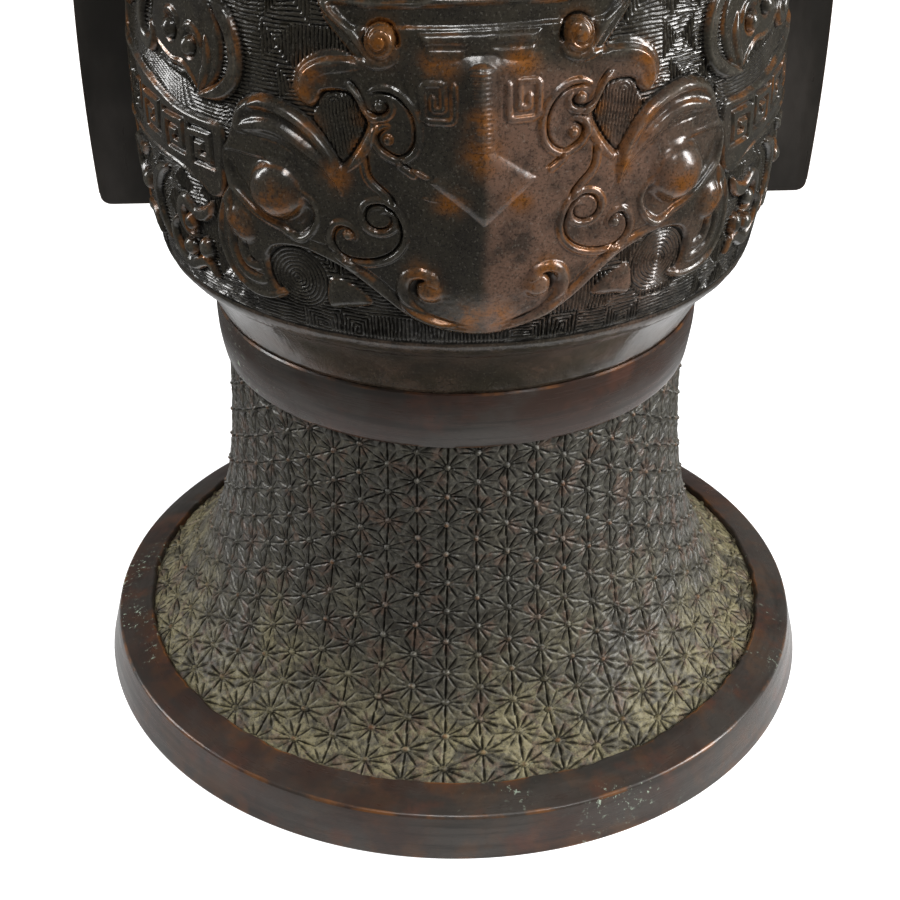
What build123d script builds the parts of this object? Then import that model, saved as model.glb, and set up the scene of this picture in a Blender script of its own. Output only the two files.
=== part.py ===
"""Bronze gu vessel: base ring, flared foot, collars, barrel belly with flanges, trumpet neck, lip ring.

Millimetres, +Z up. The origin is the centre of the rest face. The flanges stand at -X and +X, and the
middle of the belly's front panel faces -Y.
"""
from build123d import *
from dataclasses import dataclass
import math
import os

# Stack of sections, from the rest face up
foot_height = 95.7  # rest face to the seat of the lower collar
collar_height = 15.5
belly_height = 115.6  # seat on the lower collar to the seat of the upper one
neck_height = 167.7  # seat on the upper collar to the top of the lip

# Main radii
base_radius = 100.0
mouth_radius = 110.0
waist_radius = 60.5  # foot and neck where they meet the collars
collar_step = 0.7  # collar beyond the waist
collar_taper = 1.3  # collar's belly end beyond its other end
belly_overhang = 15.3  # belly's middle beyond the collar

# Base ring
base_wall_height = 11.6  # outer wall
base_draft = 2.9  # how far that wall leans in
base_slope_width = 9.2  # sloping face between the wall and the seam
base_slope_rise = 2.8
base_bore_width = 20.0  # outer radius less bore radius
base_stands_proud = 1.4  # ring above the star surface at the seam
base_skirt_depth = 5.0  # foot's skirt in the ring's rebate
base_edge_round = 1.2

# Lip ring
lip_wall_height = 7.0
lip_draft = 1.6
lip_slope_width = 4.4
lip_slope_rise = 1.6
lip_bore_width = 10.5
lip_stands_proud = 1.0
lip_skirt_depth = 4.0
lip_edge_round = 1.5

# Foot and neck shells
foot_wall = 4.0
foot_slope = 27.0  # degrees from level, at the base ring
foot_straight = 5.7  # upright stretch below the lower collar
neck_wall = 4.0
neck_slope = 50.0  # degrees from level, at the lip ring
neck_straight = 8.0  # upright stretch above the upper collar

# Collars, the spigots inside them and the floor disc
spigot_step = 2.0  # waist radius less spigot radius
spigot_height = 5.0
collar_swell = 0.5  # bulge of the band's middle
shelf_thickness = 3.0
shelf_width = 5.5  # how far the shelf reaches in from the spigots
floor_thickness = 4.0

# Belly
belly_wall = 5.0
belly_bulge = 3.0  # belly's middle beyond its rounded edges
edge_width = 4.3  # rounded edge, between barrel and cove
edge_height = 6.0
edge_swell = 0.9
cove_height = 14.3  # plain cove above and below the patterned barrel
cove_hollow = 0.6
ledge_width = 0.5  # collar's end beyond the foot of the cove
belly_spigot_wall = 4.0

# Main cast forms of the mask, on the front and the back of the belly
face_rise = 1.1  # face plate above the wall
fold_rise = 2.5  # crest of the folded face above its plate
fold_half_width = 20.0
fold_half_height = 34.0
bridge_rise = 0.9  # nose bridge beyond the crest
lozenge_rise = 1.6  # nose lozenge beyond the crest
brow_rise = 2.4
forehead_block_rise = 2.3
dragon_rise = 1.6

# Flanges, their tenons and pins
flange_thickness = 7.0
flange_height = 69.0
flange_reach = 13.3  # beyond the belly at mid height
flange_bow = 1.1  # bow of the outer edge
flange_corner = 3.0
tenon_thickness = 4.0
tenon_height = 12.0
tenon_spread = 38.0  # between the middles of a flange's two tenons
tenon_tail = 2.0  # metal beyond the pin
pin_diameter = 3.0
pin_length = 11.0

# Clearances
lap_gap = 0.15  # between round laps
seat_gap = 0.2  # at the end of a spigot, so that its shoulder seats
slot_gap = 0.15  # around a tenon in its slot
pin_gap = 0.1  # around a pin

# Heights of the joints
collar_seat = foot_height
belly_seat = collar_seat + collar_height
belly_top = belly_seat + belly_height
neck_seat = belly_top + collar_height
total_height = neck_seat + neck_height
belly_middle = belly_seat + belly_height / 2

# Radii of collars and belly
spigot_radius = waist_radius - spigot_step
socket_radius = spigot_radius + lap_gap
collar_radius = waist_radius + collar_step + collar_taper
belly_radius = collar_radius + belly_overhang
belly_edge_radius = belly_radius - belly_bulge
belly_inside_radius = belly_radius - belly_wall
belly_spigot_bore = spigot_radius - belly_spigot_wall
barrel_half = belly_height / 2 - cove_height - edge_height

# Sockets in a collar, on both sides of its shelf
foot_socket_depth = spigot_height + seat_gap
belly_socket_depth = collar_height - foot_socket_depth - shelf_thickness


@dataclass
class Ring:
    """Plain stepped ring, measured from its flat face, with a rebate for a shell's skirt."""

    outer: float
    wall_height: float
    draft: float
    slope_width: float
    slope_rise: float
    bore_width: float
    stands_proud: float
    skirt_depth: float
    edge_round: float

    @property
    def height(self):
        return self.wall_height + self.slope_rise

    @property
    def seam(self):
        return self.outer - self.draft - self.slope_width

    @property
    def bore(self):
        return self.outer - self.bore_width

    @property
    def skirt_top(self):
        return self.height - self.stands_proud

    @property
    def rebate_floor(self):
        return self.skirt_top - self.skirt_depth


base_ring = Ring(
    base_radius,
    base_wall_height,
    base_draft,
    base_slope_width,
    base_slope_rise,
    base_bore_width,
    base_stands_proud,
    base_skirt_depth,
    base_edge_round,
)
lip_ring = Ring(
    mouth_radius,
    lip_wall_height,
    lip_draft,
    lip_slope_width,
    lip_slope_rise,
    lip_bore_width,
    lip_stands_proud,
    lip_skirt_depth,
    lip_edge_round,
)


@dataclass
class Boss:
    """Round boss on the mask: its place across and up from the belly's middle, and its size on the plate."""

    across: float
    up: float
    radius: float
    rise: float


eye = Boss(across=42.4, up=-2.4, radius=5.9, rise=4.1)
jaw_boss = Boss(across=54.8, up=-13.2, radius=4.2, rise=1.8)
horn_boss = Boss(across=19.9, up=30.0, radius=3.5, rise=2.2)
nostril = Boss(across=12.1, up=-20.8, radius=2.8, rise=1.7)

# Outlines of the mask's right half, in millimetres across and up from the belly's middle
face_outline = [
    (0, 37), (32.6, 37), (23.2, 26.6), (31, 26.8), (35.6, 24.6), (37.1, 20.4), (34.6, 16.9), (30.8, 21),
    (25.4, 20.6), (23.3, 13), (28.6, 5.5), (37.2, 11.8), (45.5, 15.4), (52, 14.8), (55.2, 9.5), (57.7, 2.8),
    (57.2, -4.7), (61.5, -11), (62.4, -19), (59.2, -27.5), (51.5, -30.8), (45.2, -28.5), (49, -23),
    (46.4, -16.7), (38, -15.6), (30, -19), (21.5, -26), (10, -32.4), (0, -34.6),
]
brow_outline = [
    (29.6, -1.5), (29.2, 2), (33.2, 8.7), (41.1, 13.9), (49.3, 15.5), (54.5, 12.1), (54, 7.9), (46, 9.6),
    (37.6, 7.2), (32, 2.3),
]
dragon_outline = [
    (59.5, 34.6), (54.6, 30.6), (51.6, 25.8), (51.4, 20.8), (53.3, 16.4), (57.7, 13.3), (64, 11.8),
    (64.4, 13.8), (59, 16.3), (55.6, 19.2), (54.6, 22.8), (55.6, 27.2), (58.2, 30.8), (61.6, 33.2),
]
crest_outline = [(0, 33), (fold_half_width, 33), (fold_half_width, -33), (0, -33)]
bridge_outline = [(0, 27), (3, 27), (3, 7.5), (0, 7.5)]
lozenge_outline = [(0, 10.3), (11.5, 2.3), (0, -7.5)]
forehead_block_outline = [(0, 31.6), (12.4, 31.8), (10.4, 25.5), (4, 25), (0, 25)]


def at(radius, height):
    """Point of a half section."""
    return Vector(radius, 0, height)


def run(*points):
    """Straight edges from point to point of a half section."""
    return [Line(start, end) for start, end in zip(points, points[1:])]


def bowed(start, end, bulge):
    """Arc from start to end whose middle stands out by the bulge, to the right of the way along it."""
    along = (end - start).normalized()
    side = Vector(along.Z, 0, -along.X)
    return ThreePointArc(start, (start + end) / 2 + side * bulge, end)


def turned(edges):
    """Solid of revolution about +Z from the edges of a closed half section."""
    return revolve(make_face(edges), Axis.Z, 360)


def upside_down(solid, height):
    """The same solid turned over, with its Z = 0 brought to the given height."""
    return Pos(0, 0, height) * Rot(180, 0, 0) * solid


def barrel_radius(middle, offset):
    """Radius of the barrel's arc, given at its middle, at a height offset from there."""
    curve = (barrel_half ** 2 + belly_bulge ** 2) / (2 * belly_bulge)
    return middle - curve + math.sqrt(curve ** 2 - offset ** 2)


def plain_ring(ring):
    """Ring standing on its flat face, with its outer edges rounded."""
    section = run(
        at(ring.bore, 0),
        at(ring.outer, 0),
        at(ring.outer - ring.draft, ring.wall_height),
        at(ring.seam, ring.height),
        at(ring.seam, ring.rebate_floor),
        at(ring.bore, ring.rebate_floor),
        at(ring.bore, 0),
    )
    solid = turned(section)
    circles = solid.edges().filter_by(GeomType.CIRCLE).sort_by(SortBy.RADIUS)
    foot_edge, arris = circles[-1], circles[-2]
    return fillet([foot_edge, arris], ring.edge_round)


def flared_shell(ring, length, straight, wall, slope_degrees):
    """Trumpet from the skirt in its ring, near Z = 0, to the spigot above its seat at Z = length."""
    slope = math.tan(math.radians(slope_degrees))
    skirt = ring.seam - lap_gap
    skirt_bore = skirt - wall
    bore = waist_radius - wall
    flare_end = length - straight
    bend = ring.skirt_top + (skirt - waist_radius) * slope
    skirt_bore_top = ring.skirt_top + wall * slope - wall * math.hypot(1, slope)
    inner_bend = skirt_bore_top + (skirt_bore - bore) * slope
    section = [
        Bezier(at(skirt, ring.skirt_top), at(waist_radius, bend), at(waist_radius, flare_end)),
        *run(
            at(waist_radius, flare_end),
            at(waist_radius, length),
            at(spigot_radius, length),
            at(spigot_radius, length + spigot_height),
            at(bore, length + spigot_height),
            at(bore, flare_end),
        ),
        Bezier(at(bore, flare_end), at(bore, inner_bend), at(skirt_bore, skirt_bore_top)),
        *run(
            at(skirt_bore, skirt_bore_top),
            at(skirt_bore, ring.rebate_floor),
            at(skirt, ring.rebate_floor),
            at(skirt, ring.skirt_top),
        ),
    ]
    return turned(section)


def collar():
    """Plain band with its foot end on Z = 0: a socket at each end and a shelf between them."""
    narrow = collar_radius - collar_taper
    shelf_bore = spigot_radius - shelf_width
    shelf_top = foot_socket_depth + shelf_thickness
    section = [
        bowed(at(narrow, 0), at(collar_radius, collar_height), collar_swell),
        *run(
            at(collar_radius, collar_height),
            at(socket_radius, collar_height),
            at(socket_radius, shelf_top),
            at(shelf_bore, shelf_top),
            at(shelf_bore, foot_socket_depth),
            at(socket_radius, foot_socket_depth),
            at(socket_radius, 0),
            at(narrow, 0),
        ),
    ]
    return turned(section)


def belly_floor():
    """Disc on the lower collar's shelf, held down by the belly's spigot."""
    disc = Cylinder(spigot_radius, floor_thickness, align=(Align.CENTER, Align.CENTER, Align.MIN))
    return Pos(0, 0, belly_seat - belly_socket_depth) * disc


def tenon_heights():
    """Heights of the middles of a flange's tenons."""
    return [belly_middle - tenon_spread / 2, belly_middle + tenon_spread / 2]


def pin_distance():
    """Distance of a pin from the vessel's axis, where its ends just clear the belly's inside."""
    inside = barrel_radius(belly_inside_radius, (tenon_spread + pin_diameter) / 2)
    chord = math.sqrt(inside ** 2 - (pin_length / 2) ** 2)
    return chord - pin_diameter / 2 - pin_gap


def tenon(height, gap):
    """Tenon at +X, or the slot for it, that much larger all round."""
    inner_end = pin_distance() - pin_diameter / 2 - tenon_tail
    outer_end = belly_radius + flange_reach / 2
    block = Box(
        outer_end - inner_end,
        tenon_thickness + 2 * gap,
        tenon_height + 2 * gap,
        align=(Align.MIN, Align.CENTER, Align.CENTER),
    )
    return Pos(inner_end, 0, height) * block


def pin(height, radius, length):
    """Round bar across a tenon at +X, along Y."""
    return Pos(pin_distance(), 0, height) * Rot(90, 0, 0) * Cylinder(radius, length)


def opposite(solid):
    """The same solid on the other side of the vessel."""
    return Rot(0, 0, 180) * solid


def barrel_ring(inner, outer):
    """Ring along the barrel's arc, between two distances beyond the belly's wall."""
    low = belly_middle - barrel_half
    high = belly_middle + barrel_half
    near = belly_edge_radius + inner
    far = belly_edge_radius + outer
    section = [
        bowed(at(far, low), at(far, high), belly_bulge),
        Line(at(far, high), at(near, high)),
        bowed(at(near, high), at(near, low), -belly_bulge),
        Line(at(near, low), at(far, low)),
    ]
    return turned(section)


def folded_body(rise):
    """Body with a crest along the front of the belly, which falls to the face plate on both sides of it."""
    plate = belly_radius + face_rise
    crest = plate + rise
    shift = (crest ** 2 - plate ** 2) / (2 * fold_half_width)
    radius = math.hypot(crest, shift)
    drop = belly_radius - barrel_radius(belly_radius, fold_half_height) + rise
    low = belly_middle - fold_half_height
    high = belly_middle + fold_half_height
    section = [
        bowed(at(radius - drop, low), at(radius - drop, high), drop),
        *run(at(radius - drop, high), at(0, high), at(0, low), at(radius - drop, low)),
    ]
    body = turned(section)
    return (Pos(-shift, 0, 0) * body) & (Pos(shift, 0, 0) * body)


def both_sides(outline):
    """Outline of a form across the mask's middle, from that of its right half."""
    return outline + [(-across, up) for across, up in reversed(outline) if across > 0]


def cast_prism(outline):
    """Outline on the mask, drawn through the front of the belly along Y."""
    corners = [
        Vector(belly_radius * math.sin(across / belly_radius), 0, belly_middle + up) for across, up in outline
    ]
    return extrude(make_face(run(*corners, corners[0])), 2 * belly_radius, dir=(0, -1, 0))


def cast_plate(outline, rise):
    """Plate on the front of the belly, rooted as deep in the wall as it stands out."""
    return cast_prism(outline) & barrel_ring(-rise, rise)


def cast_fold(outline, rise):
    """Form with a crest along its middle, rooted as deep in the wall as it stands on the face plate."""
    return cast_prism(outline) & folded_body(rise) & barrel_ring(-rise, flange_reach)


def cast_boss(boss):
    """Plug with a round cap, square to the belly's wall."""
    ball = (boss.radius ** 2 + boss.rise ** 2) / (2 * boss.rise)
    half_turn = math.asin(boss.radius / ball) / 2
    cap = at(ball * math.sin(half_turn), boss.rise - ball + ball * math.cos(half_turn))
    root = -face_rise - belly_wall / 2
    section = [
        ThreePointArc(at(boss.radius, 0), cap, at(0, boss.rise)),
        *run(at(0, boss.rise), at(0, root), at(boss.radius, root), at(boss.radius, 0)),
    ]
    reach = barrel_radius(belly_radius, boss.up) + face_rise
    turn = math.degrees(boss.across / belly_radius)
    return Rot(0, 0, turn) * Pos(0, -reach, belly_middle + boss.up) * Rot(90, 0, 0) * turned(section)


def mask_forms():
    """Main raised forms of the front mask."""
    middle = [
        cast_plate(both_sides(face_outline), face_rise),
        cast_plate(both_sides(forehead_block_outline), forehead_block_rise),
        cast_fold(both_sides(crest_outline), fold_rise),
        cast_fold(both_sides(bridge_outline), fold_rise + bridge_rise),
        cast_fold(both_sides(lozenge_outline), fold_rise + lozenge_rise),
    ]
    right = [
        cast_plate(brow_outline, brow_rise),
        cast_plate(dragon_outline, dragon_rise),
        *[cast_boss(boss) for boss in (eye, jaw_boss, horn_boss, nostril)],
    ]
    left = [mirror(form, Plane.YZ) for form in right]
    return middle + right + left


def belly_shell():
    """Barrel between two coves, with the mask's main forms, a spigot at each end and slots for the tenons."""
    barrel_low = belly_middle - barrel_half
    barrel_high = belly_middle + barrel_half
    cove_low = belly_seat + cove_height
    cove_high = belly_top - cove_height
    seat = collar_radius - ledge_width
    cove = belly_edge_radius - edge_width
    inside_edge = belly_edge_radius - belly_wall
    spigot_low = belly_seat - belly_socket_depth + floor_thickness
    spigot_high = belly_top + belly_socket_depth - seat_gap
    section = [
        bowed(at(seat, belly_seat), at(cove, cove_low), -cove_hollow),
        bowed(at(cove, cove_low), at(belly_edge_radius, barrel_low), edge_swell),
        bowed(at(belly_edge_radius, barrel_low), at(belly_edge_radius, barrel_high), belly_bulge),
        bowed(at(belly_edge_radius, barrel_high), at(cove, cove_high), edge_swell),
        bowed(at(cove, cove_high), at(seat, belly_top), -cove_hollow),
        *run(
            at(seat, belly_top),
            at(spigot_radius, belly_top),
            at(spigot_radius, spigot_high),
            at(belly_spigot_bore, spigot_high),
            at(belly_spigot_bore, belly_top),
            at(inside_edge, barrel_high),
        ),
        bowed(at(inside_edge, barrel_high), at(inside_edge, barrel_low), -belly_bulge),
        *run(
            at(inside_edge, barrel_low),
            at(belly_spigot_bore, belly_seat),
            at(belly_spigot_bore, spigot_low),
            at(spigot_radius, spigot_low),
            at(spigot_radius, belly_seat),
            at(seat, belly_seat),
        ),
    ]
    shell = turned(section)
    front = mask_forms()
    shell = shell + (front + [opposite(form) for form in front])
    for height in tenon_heights():
        slot = tenon(height, slot_gap)
        shell = shell - slot - opposite(slot)
    return shell


def flange():
    """Plate at +X that follows the belly's curve, with two tenons drilled for their pins."""
    half = flange_height / 2
    inner_middle = belly_radius + lap_gap
    inner_end = barrel_radius(inner_middle, half)
    outer_middle = belly_radius + flange_reach
    outer_end = outer_middle - flange_bow
    low = belly_middle - half
    high = belly_middle + half
    outline = [
        ThreePointArc(at(outer_end, low), at(outer_middle, belly_middle), at(outer_end, high)),
        Line(at(outer_end, high), at(inner_end, high)),
        ThreePointArc(at(inner_end, high), at(inner_middle, belly_middle), at(inner_end, low)),
        Line(at(inner_end, low), at(outer_end, low)),
    ]
    plate = extrude(make_face(outline), flange_thickness / 2, dir=(0, 1, 0), both=True)
    corners = plate.edges().filter_by(Axis.Y).group_by(Axis.X)[-1]
    plate = fillet(corners, flange_corner)
    for height in tenon_heights():
        plate = plate + tenon(height, 0)
        plate = plate - pin(height, pin_diameter / 2 + pin_gap, flange_thickness)
    return plate


def flange_pins():
    """Four pins, one through each tenon, as separate solids."""
    right = [pin(height, pin_diameter / 2, pin_length) for height in tenon_heights()]
    left = [opposite(bar) for bar in right]
    return Compound([bar.solid() for bar in right + left])


pieces = {
    "base_rim": plain_ring(base_ring),
    "foot_shell": flared_shell(base_ring, foot_height, foot_straight, foot_wall, foot_slope),
    "foot_collar": Pos(0, 0, collar_seat) * collar(),
    "belly_floor": belly_floor(),
    "belly_shell": belly_shell(),
    "right_flange": flange(),
    "left_flange": opposite(flange()),
    "flange_pins": flange_pins(),
    "neck_collar": upside_down(collar(), neck_seat),
    "neck_trumpet": upside_down(
        flared_shell(lip_ring, neck_height, neck_straight, neck_wall, neck_slope),
        total_height,
    ),
    "mouth_rim": upside_down(plain_ring(lip_ring), total_height),
}

os.makedirs("parts", exist_ok=True)
for node, piece in pieces.items():
    export_step(piece, f"parts/{node}.step")
    box = piece.bounding_box()
    span = f"Z {box.min.Z:.1f} to {box.max.Z:.1f}"
    print(f"{node}: {len(piece.solids())} solids, {piece.volume / 1000:.1f} cm3, {span}")
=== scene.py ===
"""Looks of a cast bronze gu vase: relief, patina, plain studio and camera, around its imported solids.

Shapes are worked out in millimetres and written to meshes in metres. Turns are measured from the front,
-Y, towards the right, +X.
"""
import math

import bmesh
import bpy
import numpy as np
from mathutils import Matrix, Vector
from bpy.props import FloatProperty, FloatVectorProperty, IntProperty, PointerProperty


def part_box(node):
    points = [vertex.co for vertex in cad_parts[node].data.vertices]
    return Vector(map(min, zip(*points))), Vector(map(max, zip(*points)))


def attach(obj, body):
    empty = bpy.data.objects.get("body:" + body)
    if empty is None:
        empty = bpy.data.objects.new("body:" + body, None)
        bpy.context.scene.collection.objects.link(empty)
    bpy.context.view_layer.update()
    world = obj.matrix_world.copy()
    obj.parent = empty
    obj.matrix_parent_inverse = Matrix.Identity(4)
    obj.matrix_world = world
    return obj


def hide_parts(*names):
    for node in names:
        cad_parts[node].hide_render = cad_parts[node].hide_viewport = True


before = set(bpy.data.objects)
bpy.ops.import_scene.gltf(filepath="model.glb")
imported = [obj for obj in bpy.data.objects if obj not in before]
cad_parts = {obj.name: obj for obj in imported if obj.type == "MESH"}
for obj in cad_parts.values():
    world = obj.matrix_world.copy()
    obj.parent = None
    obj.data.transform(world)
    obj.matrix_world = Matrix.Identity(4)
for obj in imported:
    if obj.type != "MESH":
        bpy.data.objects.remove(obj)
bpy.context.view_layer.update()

bl_info = {
    "name": "Bronze gu vase",
    "version": (1, 0, 0),
    "blender": (4, 5, 0),
    "location": "3D View > Sidebar > Gu vase",
    "description": "Cast bronze gu vase with a beast mask, star-patterned foot and neck, and a plain studio",
    "category": "Object",
}

MM = 0.001
BODY = "root"
BAKE_MAP = "OFBake"


def span(node):
    """Lowest and highest corner of a solid, in millimetres."""
    low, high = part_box(node)
    return np.array(low) / MM, np.array(high) / MM


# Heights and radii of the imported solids
COLLAR_SEAT = span("foot_collar")[0][2]
BELLY_SEAT = span("foot_collar")[1][2]
BELLY_TOP = span("neck_collar")[0][2]
NECK_SEAT = span("neck_collar")[1][2]
TOTAL_HEIGHT = span("mouth_rim")[1][2]
BELLY_MIDDLE = (BELLY_SEAT + BELLY_TOP) / 2
COLLAR_RADIUS = span("foot_collar")[1][0]
BASE_RADIUS = span("base_rim")[1][0]
LIP_RADIUS = span("mouth_rim")[1][0]
FLANGE_LOW, FLANGE_HIGH = span("right_flange")


def length(name, description, millimetres):
    """A size property, given in millimetres."""
    return FloatProperty(
        name=name, description=description, default=millimetres * MM, unit="LENGTH", precision=5
    )


def angle(name, description, degrees):
    """A turn property, given in degrees."""
    return FloatProperty(name=name, description=description, default=math.radians(degrees), subtype="ANGLE")


def power(side, watts):
    """The power property of a lamp."""
    return FloatProperty(
        name=f"{side} lamp", description=f"Power of the {side.lower()} lamp", default=watts, subtype="POWER"
    )


def colour(name, description, value):
    """A colour property."""
    return FloatVectorProperty(
        name=name, description=description, default=value, size=3, min=0, max=1, subtype="COLOR"
    )


class GuReliefSizes(bpy.types.PropertyGroup):
    """Sizes of the cast relief"""

    face_rise: length("Face rise", "Mask's face above the ground", 1.15)
    keel_rise: length("Keel rise", "Fold down the middle of the face", 2.5)
    brow_rise: length("Brow rise", "Eyebrows above the ground", 2.1)
    bridge_rise: length("Bridge rise", "Nose bridge beyond the crest of the face", 1.0)
    lozenge_rise: length("Lozenge rise", "Nose lozenge beyond the crest of the face", 1.0)
    eye_rise: length("Eye rise", "Eyeballs above the face", 4.1)
    ground_pitch: length("Ground pitch", "Distance between the lines of the thunder ground", 0.86)
    ground_depth: length("Ground depth", "Depth of those lines", 0.46)
    star_pitch: length("Star pitch", "Distance between stars up a column", 8.05)
    star_groove: length("Star groove", "Depth of the grooves of a star", 0.55)
    star_bulge: length("Star bulge", "Swell of the sheet at a star", 0.2)
    stud_rise: length("Stud rise", "Height of the stud in a star", 0.55)
    star_columns: IntProperty(
        name="Star columns", description="Columns of stars round the vase", default=52, min=12, max=120
    )


class GuColours(bpy.types.PropertyGroup):
    """Colours of the patina"""

    chocolate: colour("Chocolate", "Dark patina of the mask", (0.0245, 0.0212, 0.0150))
    # This tone also serves as painted light on the right cheek of the mask.
    umber: colour("Umber", "Redder patina of the mask", (0.100, 0.057, 0.038))
    recess: colour("Recess", "Dirt in the hollows", (0.0065, 0.0055, 0.004))
    rubbed: colour("Rubbed", "Bare bronze on rubbed places", (0.230, 0.080, 0.011))
    plum: colour("Plum", "Red-brown patina of the plain rings", (0.033, 0.0185, 0.0135))
    rust: colour("Rust", "Redder clouds of the plain rings", (0.064, 0.026, 0.016))
    smoke: colour("Smoke", "Greyer patina of the plain rings", (0.040, 0.034, 0.029))
    slate: colour("Slate", "Patina of the foot and neck near the waist", (0.053, 0.050, 0.0385))
    olive: colour("Olive", "Patina of the flares", (0.178, 0.154, 0.080))
    # The pale tone of the specks also serves as a painted sheen on the mask's ridges and as painted glints.
    dust: colour("Dust", "Pale specks", (0.150, 0.138, 0.112))
    verdigris: colour("Verdigris", "Pale green specks", (0.30, 0.36, 0.28))
    soot: colour("Soot", "Darkest patina", (0.014, 0.012, 0.0095))
    casting: colour("Casting", "Unpolished inside", (0.048, 0.040, 0.030))


class GuStage(bpy.types.PropertyGroup):
    """Camera, floor and lamps"""

    lens: FloatProperty(
        name="Lens", description="Camera's focal length", default=64.71, subtype="DISTANCE_CAMERA"
    )
    camera_distance: length("Camera distance", "From the vase's axis, along the floor", 383.9)
    camera_height: length("Camera height", "Above the floor", 299.5)
    camera_shift: length("Camera offset", "To the left of the vase's axis", 1.3)
    camera_turn: angle("Camera turn", "Camera's turn round the vase", -3.5)
    camera_dip: angle("Camera dip", "Camera's tilt below level", 32.32)
    camera_roll: angle("Camera roll", "Camera's turn about its line of sight", 0.25)
    floor_colour: colour("Floor", "Pale floor", (0.80, 0.80, 0.80))
    key_power: power("Right", 24.0)
    fill_power: power("Left", 11.5)
    top_power: power("Top", 8.0)
    front_power: power("Front", 4.0)


# Curves and fields


def smooth_through(points, closed=False, step=0.4):
    """Closely spaced points on a smooth curve through the given ones."""
    given = np.asarray(points, float)
    if closed:
        ends = given[-1:], given[:2]
    else:
        ends = 2 * given[:1] - given[1:2], 2 * given[-1:] - given[-2:-1]
    knots = np.vstack([ends[0], given, ends[1]])
    pieces = []
    for a, b, c, d in zip(knots, knots[1:], knots[2:], knots[3:]):
        count = max(2, math.ceil(math.dist(b, c) / step))
        t = np.linspace(0, 1, count, endpoint=False)[:, None]
        bend = 2 * a - 5 * b + 4 * c - d
        turn = 3 * b - 3 * c + d - a
        pieces.append(b + (c - a) * t / 2 + bend * t**2 / 2 + turn * t**3 / 2)
    last = given[:1] if closed else given[-1:]
    return np.vstack(pieces + [last])


def spiral(centre, radii, start, turns, count=40):
    """Points that wind in between two radii, from an angle in degrees; turns > 0 run anticlockwise."""
    way = np.linspace(0, 1, count)
    radius = radii[0] + (radii[1] - radii[0]) * way
    angle = np.radians(start) + 2 * np.pi * turns * way
    return np.column_stack([centre[0] + radius * np.cos(angle), centre[1] + radius * np.sin(angle)])


def beside(line, shift):
    """The line moved to its left by the shift."""
    way = np.gradient(line, axis=0)
    way /= np.maximum(np.hypot(way[:, 0], way[:, 1]), 1e-9)[:, None]
    return line + shift * np.column_stack([-way[:, 1], way[:, 0]])


def step_up(value):
    """Smooth step from 0 to 1 while the value goes from 0 to 1."""
    t = np.clip(value, 0, 1)
    return t * t * (3 - 2 * t)


def distance_to(line, x, y):
    """Distance of points from a line, and how far along it they lie, from 0 to 1."""
    runs = np.hypot(*np.diff(line, axis=0).T)
    best = np.full(x.shape, np.inf)
    along = np.zeros(x.shape)
    start = 0.0
    for (ax, ay), (bx, by), run in zip(line, line[1:], runs):
        if run < 1e-9:
            continue
        t = np.clip(((x - ax) * (bx - ax) + (y - ay) * (by - ay)) / run**2, 0, 1)
        gap = np.hypot(x - ax - t * (bx - ax), y - ay - t * (by - ay))
        closer = gap < best
        best = np.where(closer, gap, best)
        along = np.where(closer, start + t * run, along)
        start += run
    return best, along / max(start, 1e-9)


def inside(outline, x, y):
    """True for points within a closed outline."""
    within = np.zeros(x.shape, bool)
    for (ax, ay), (bx, by) in zip(outline, np.roll(outline, -1, axis=0)):
        if ay == by:
            continue
        crosses = (ay > y) != (by > y)
        within ^= crosses & (x < ax + (y - ay) * (bx - ax) / (by - ay))
    return within


NOISE_ROWS = 256


def soft_noise(x, y, size, seed, round_trip):
    """Smooth noise of about -1 to 1 with blobs of the given size; it repeats after round_trip in x."""
    cells = max(1, round(round_trip / size))
    across = x * cells / round_trip
    up = y / size
    table = np.random.default_rng(seed).uniform(-1, 1, (cells, NOISE_ROWS))
    column = np.floor(across).astype(int)
    row = np.floor(up).astype(int)
    fx = step_up(across - column)
    fy = step_up(up - row)
    left, right = column % cells, (column + 1) % cells
    low, high = row % NOISE_ROWS, (row + 1) % NOISE_ROWS
    bottom = table[left, low] * (1 - fx) + table[right, low] * fx
    top = table[left, high] * (1 - fx) + table[right, high] * fx
    return bottom * (1 - fy) + top * fy


def blurred(field, rows, columns):
    """Mean over a window of the given half sizes; columns go round, rows stop at the ends."""
    for half, axis, mode in ((rows, 0, "edge"), (columns, 1, "wrap")):
        pads = [(0, 0), (0, 0)]
        pads[axis] = (half + 1, half)
        total = np.cumsum(np.pad(field, pads, mode=mode), axis=axis)
        count = 2 * half + 1
        if axis == 0:
            field = (total[count:] - total[:-count]) / count
        else:
            field = (total[:, count:] - total[:, :-count]) / count
    return field


# Share of its edge by which a raised form starts outside its outline, and width over which the ground ends
EDGE_START = 0.35
GROUND_FADE = 0.35


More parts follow.
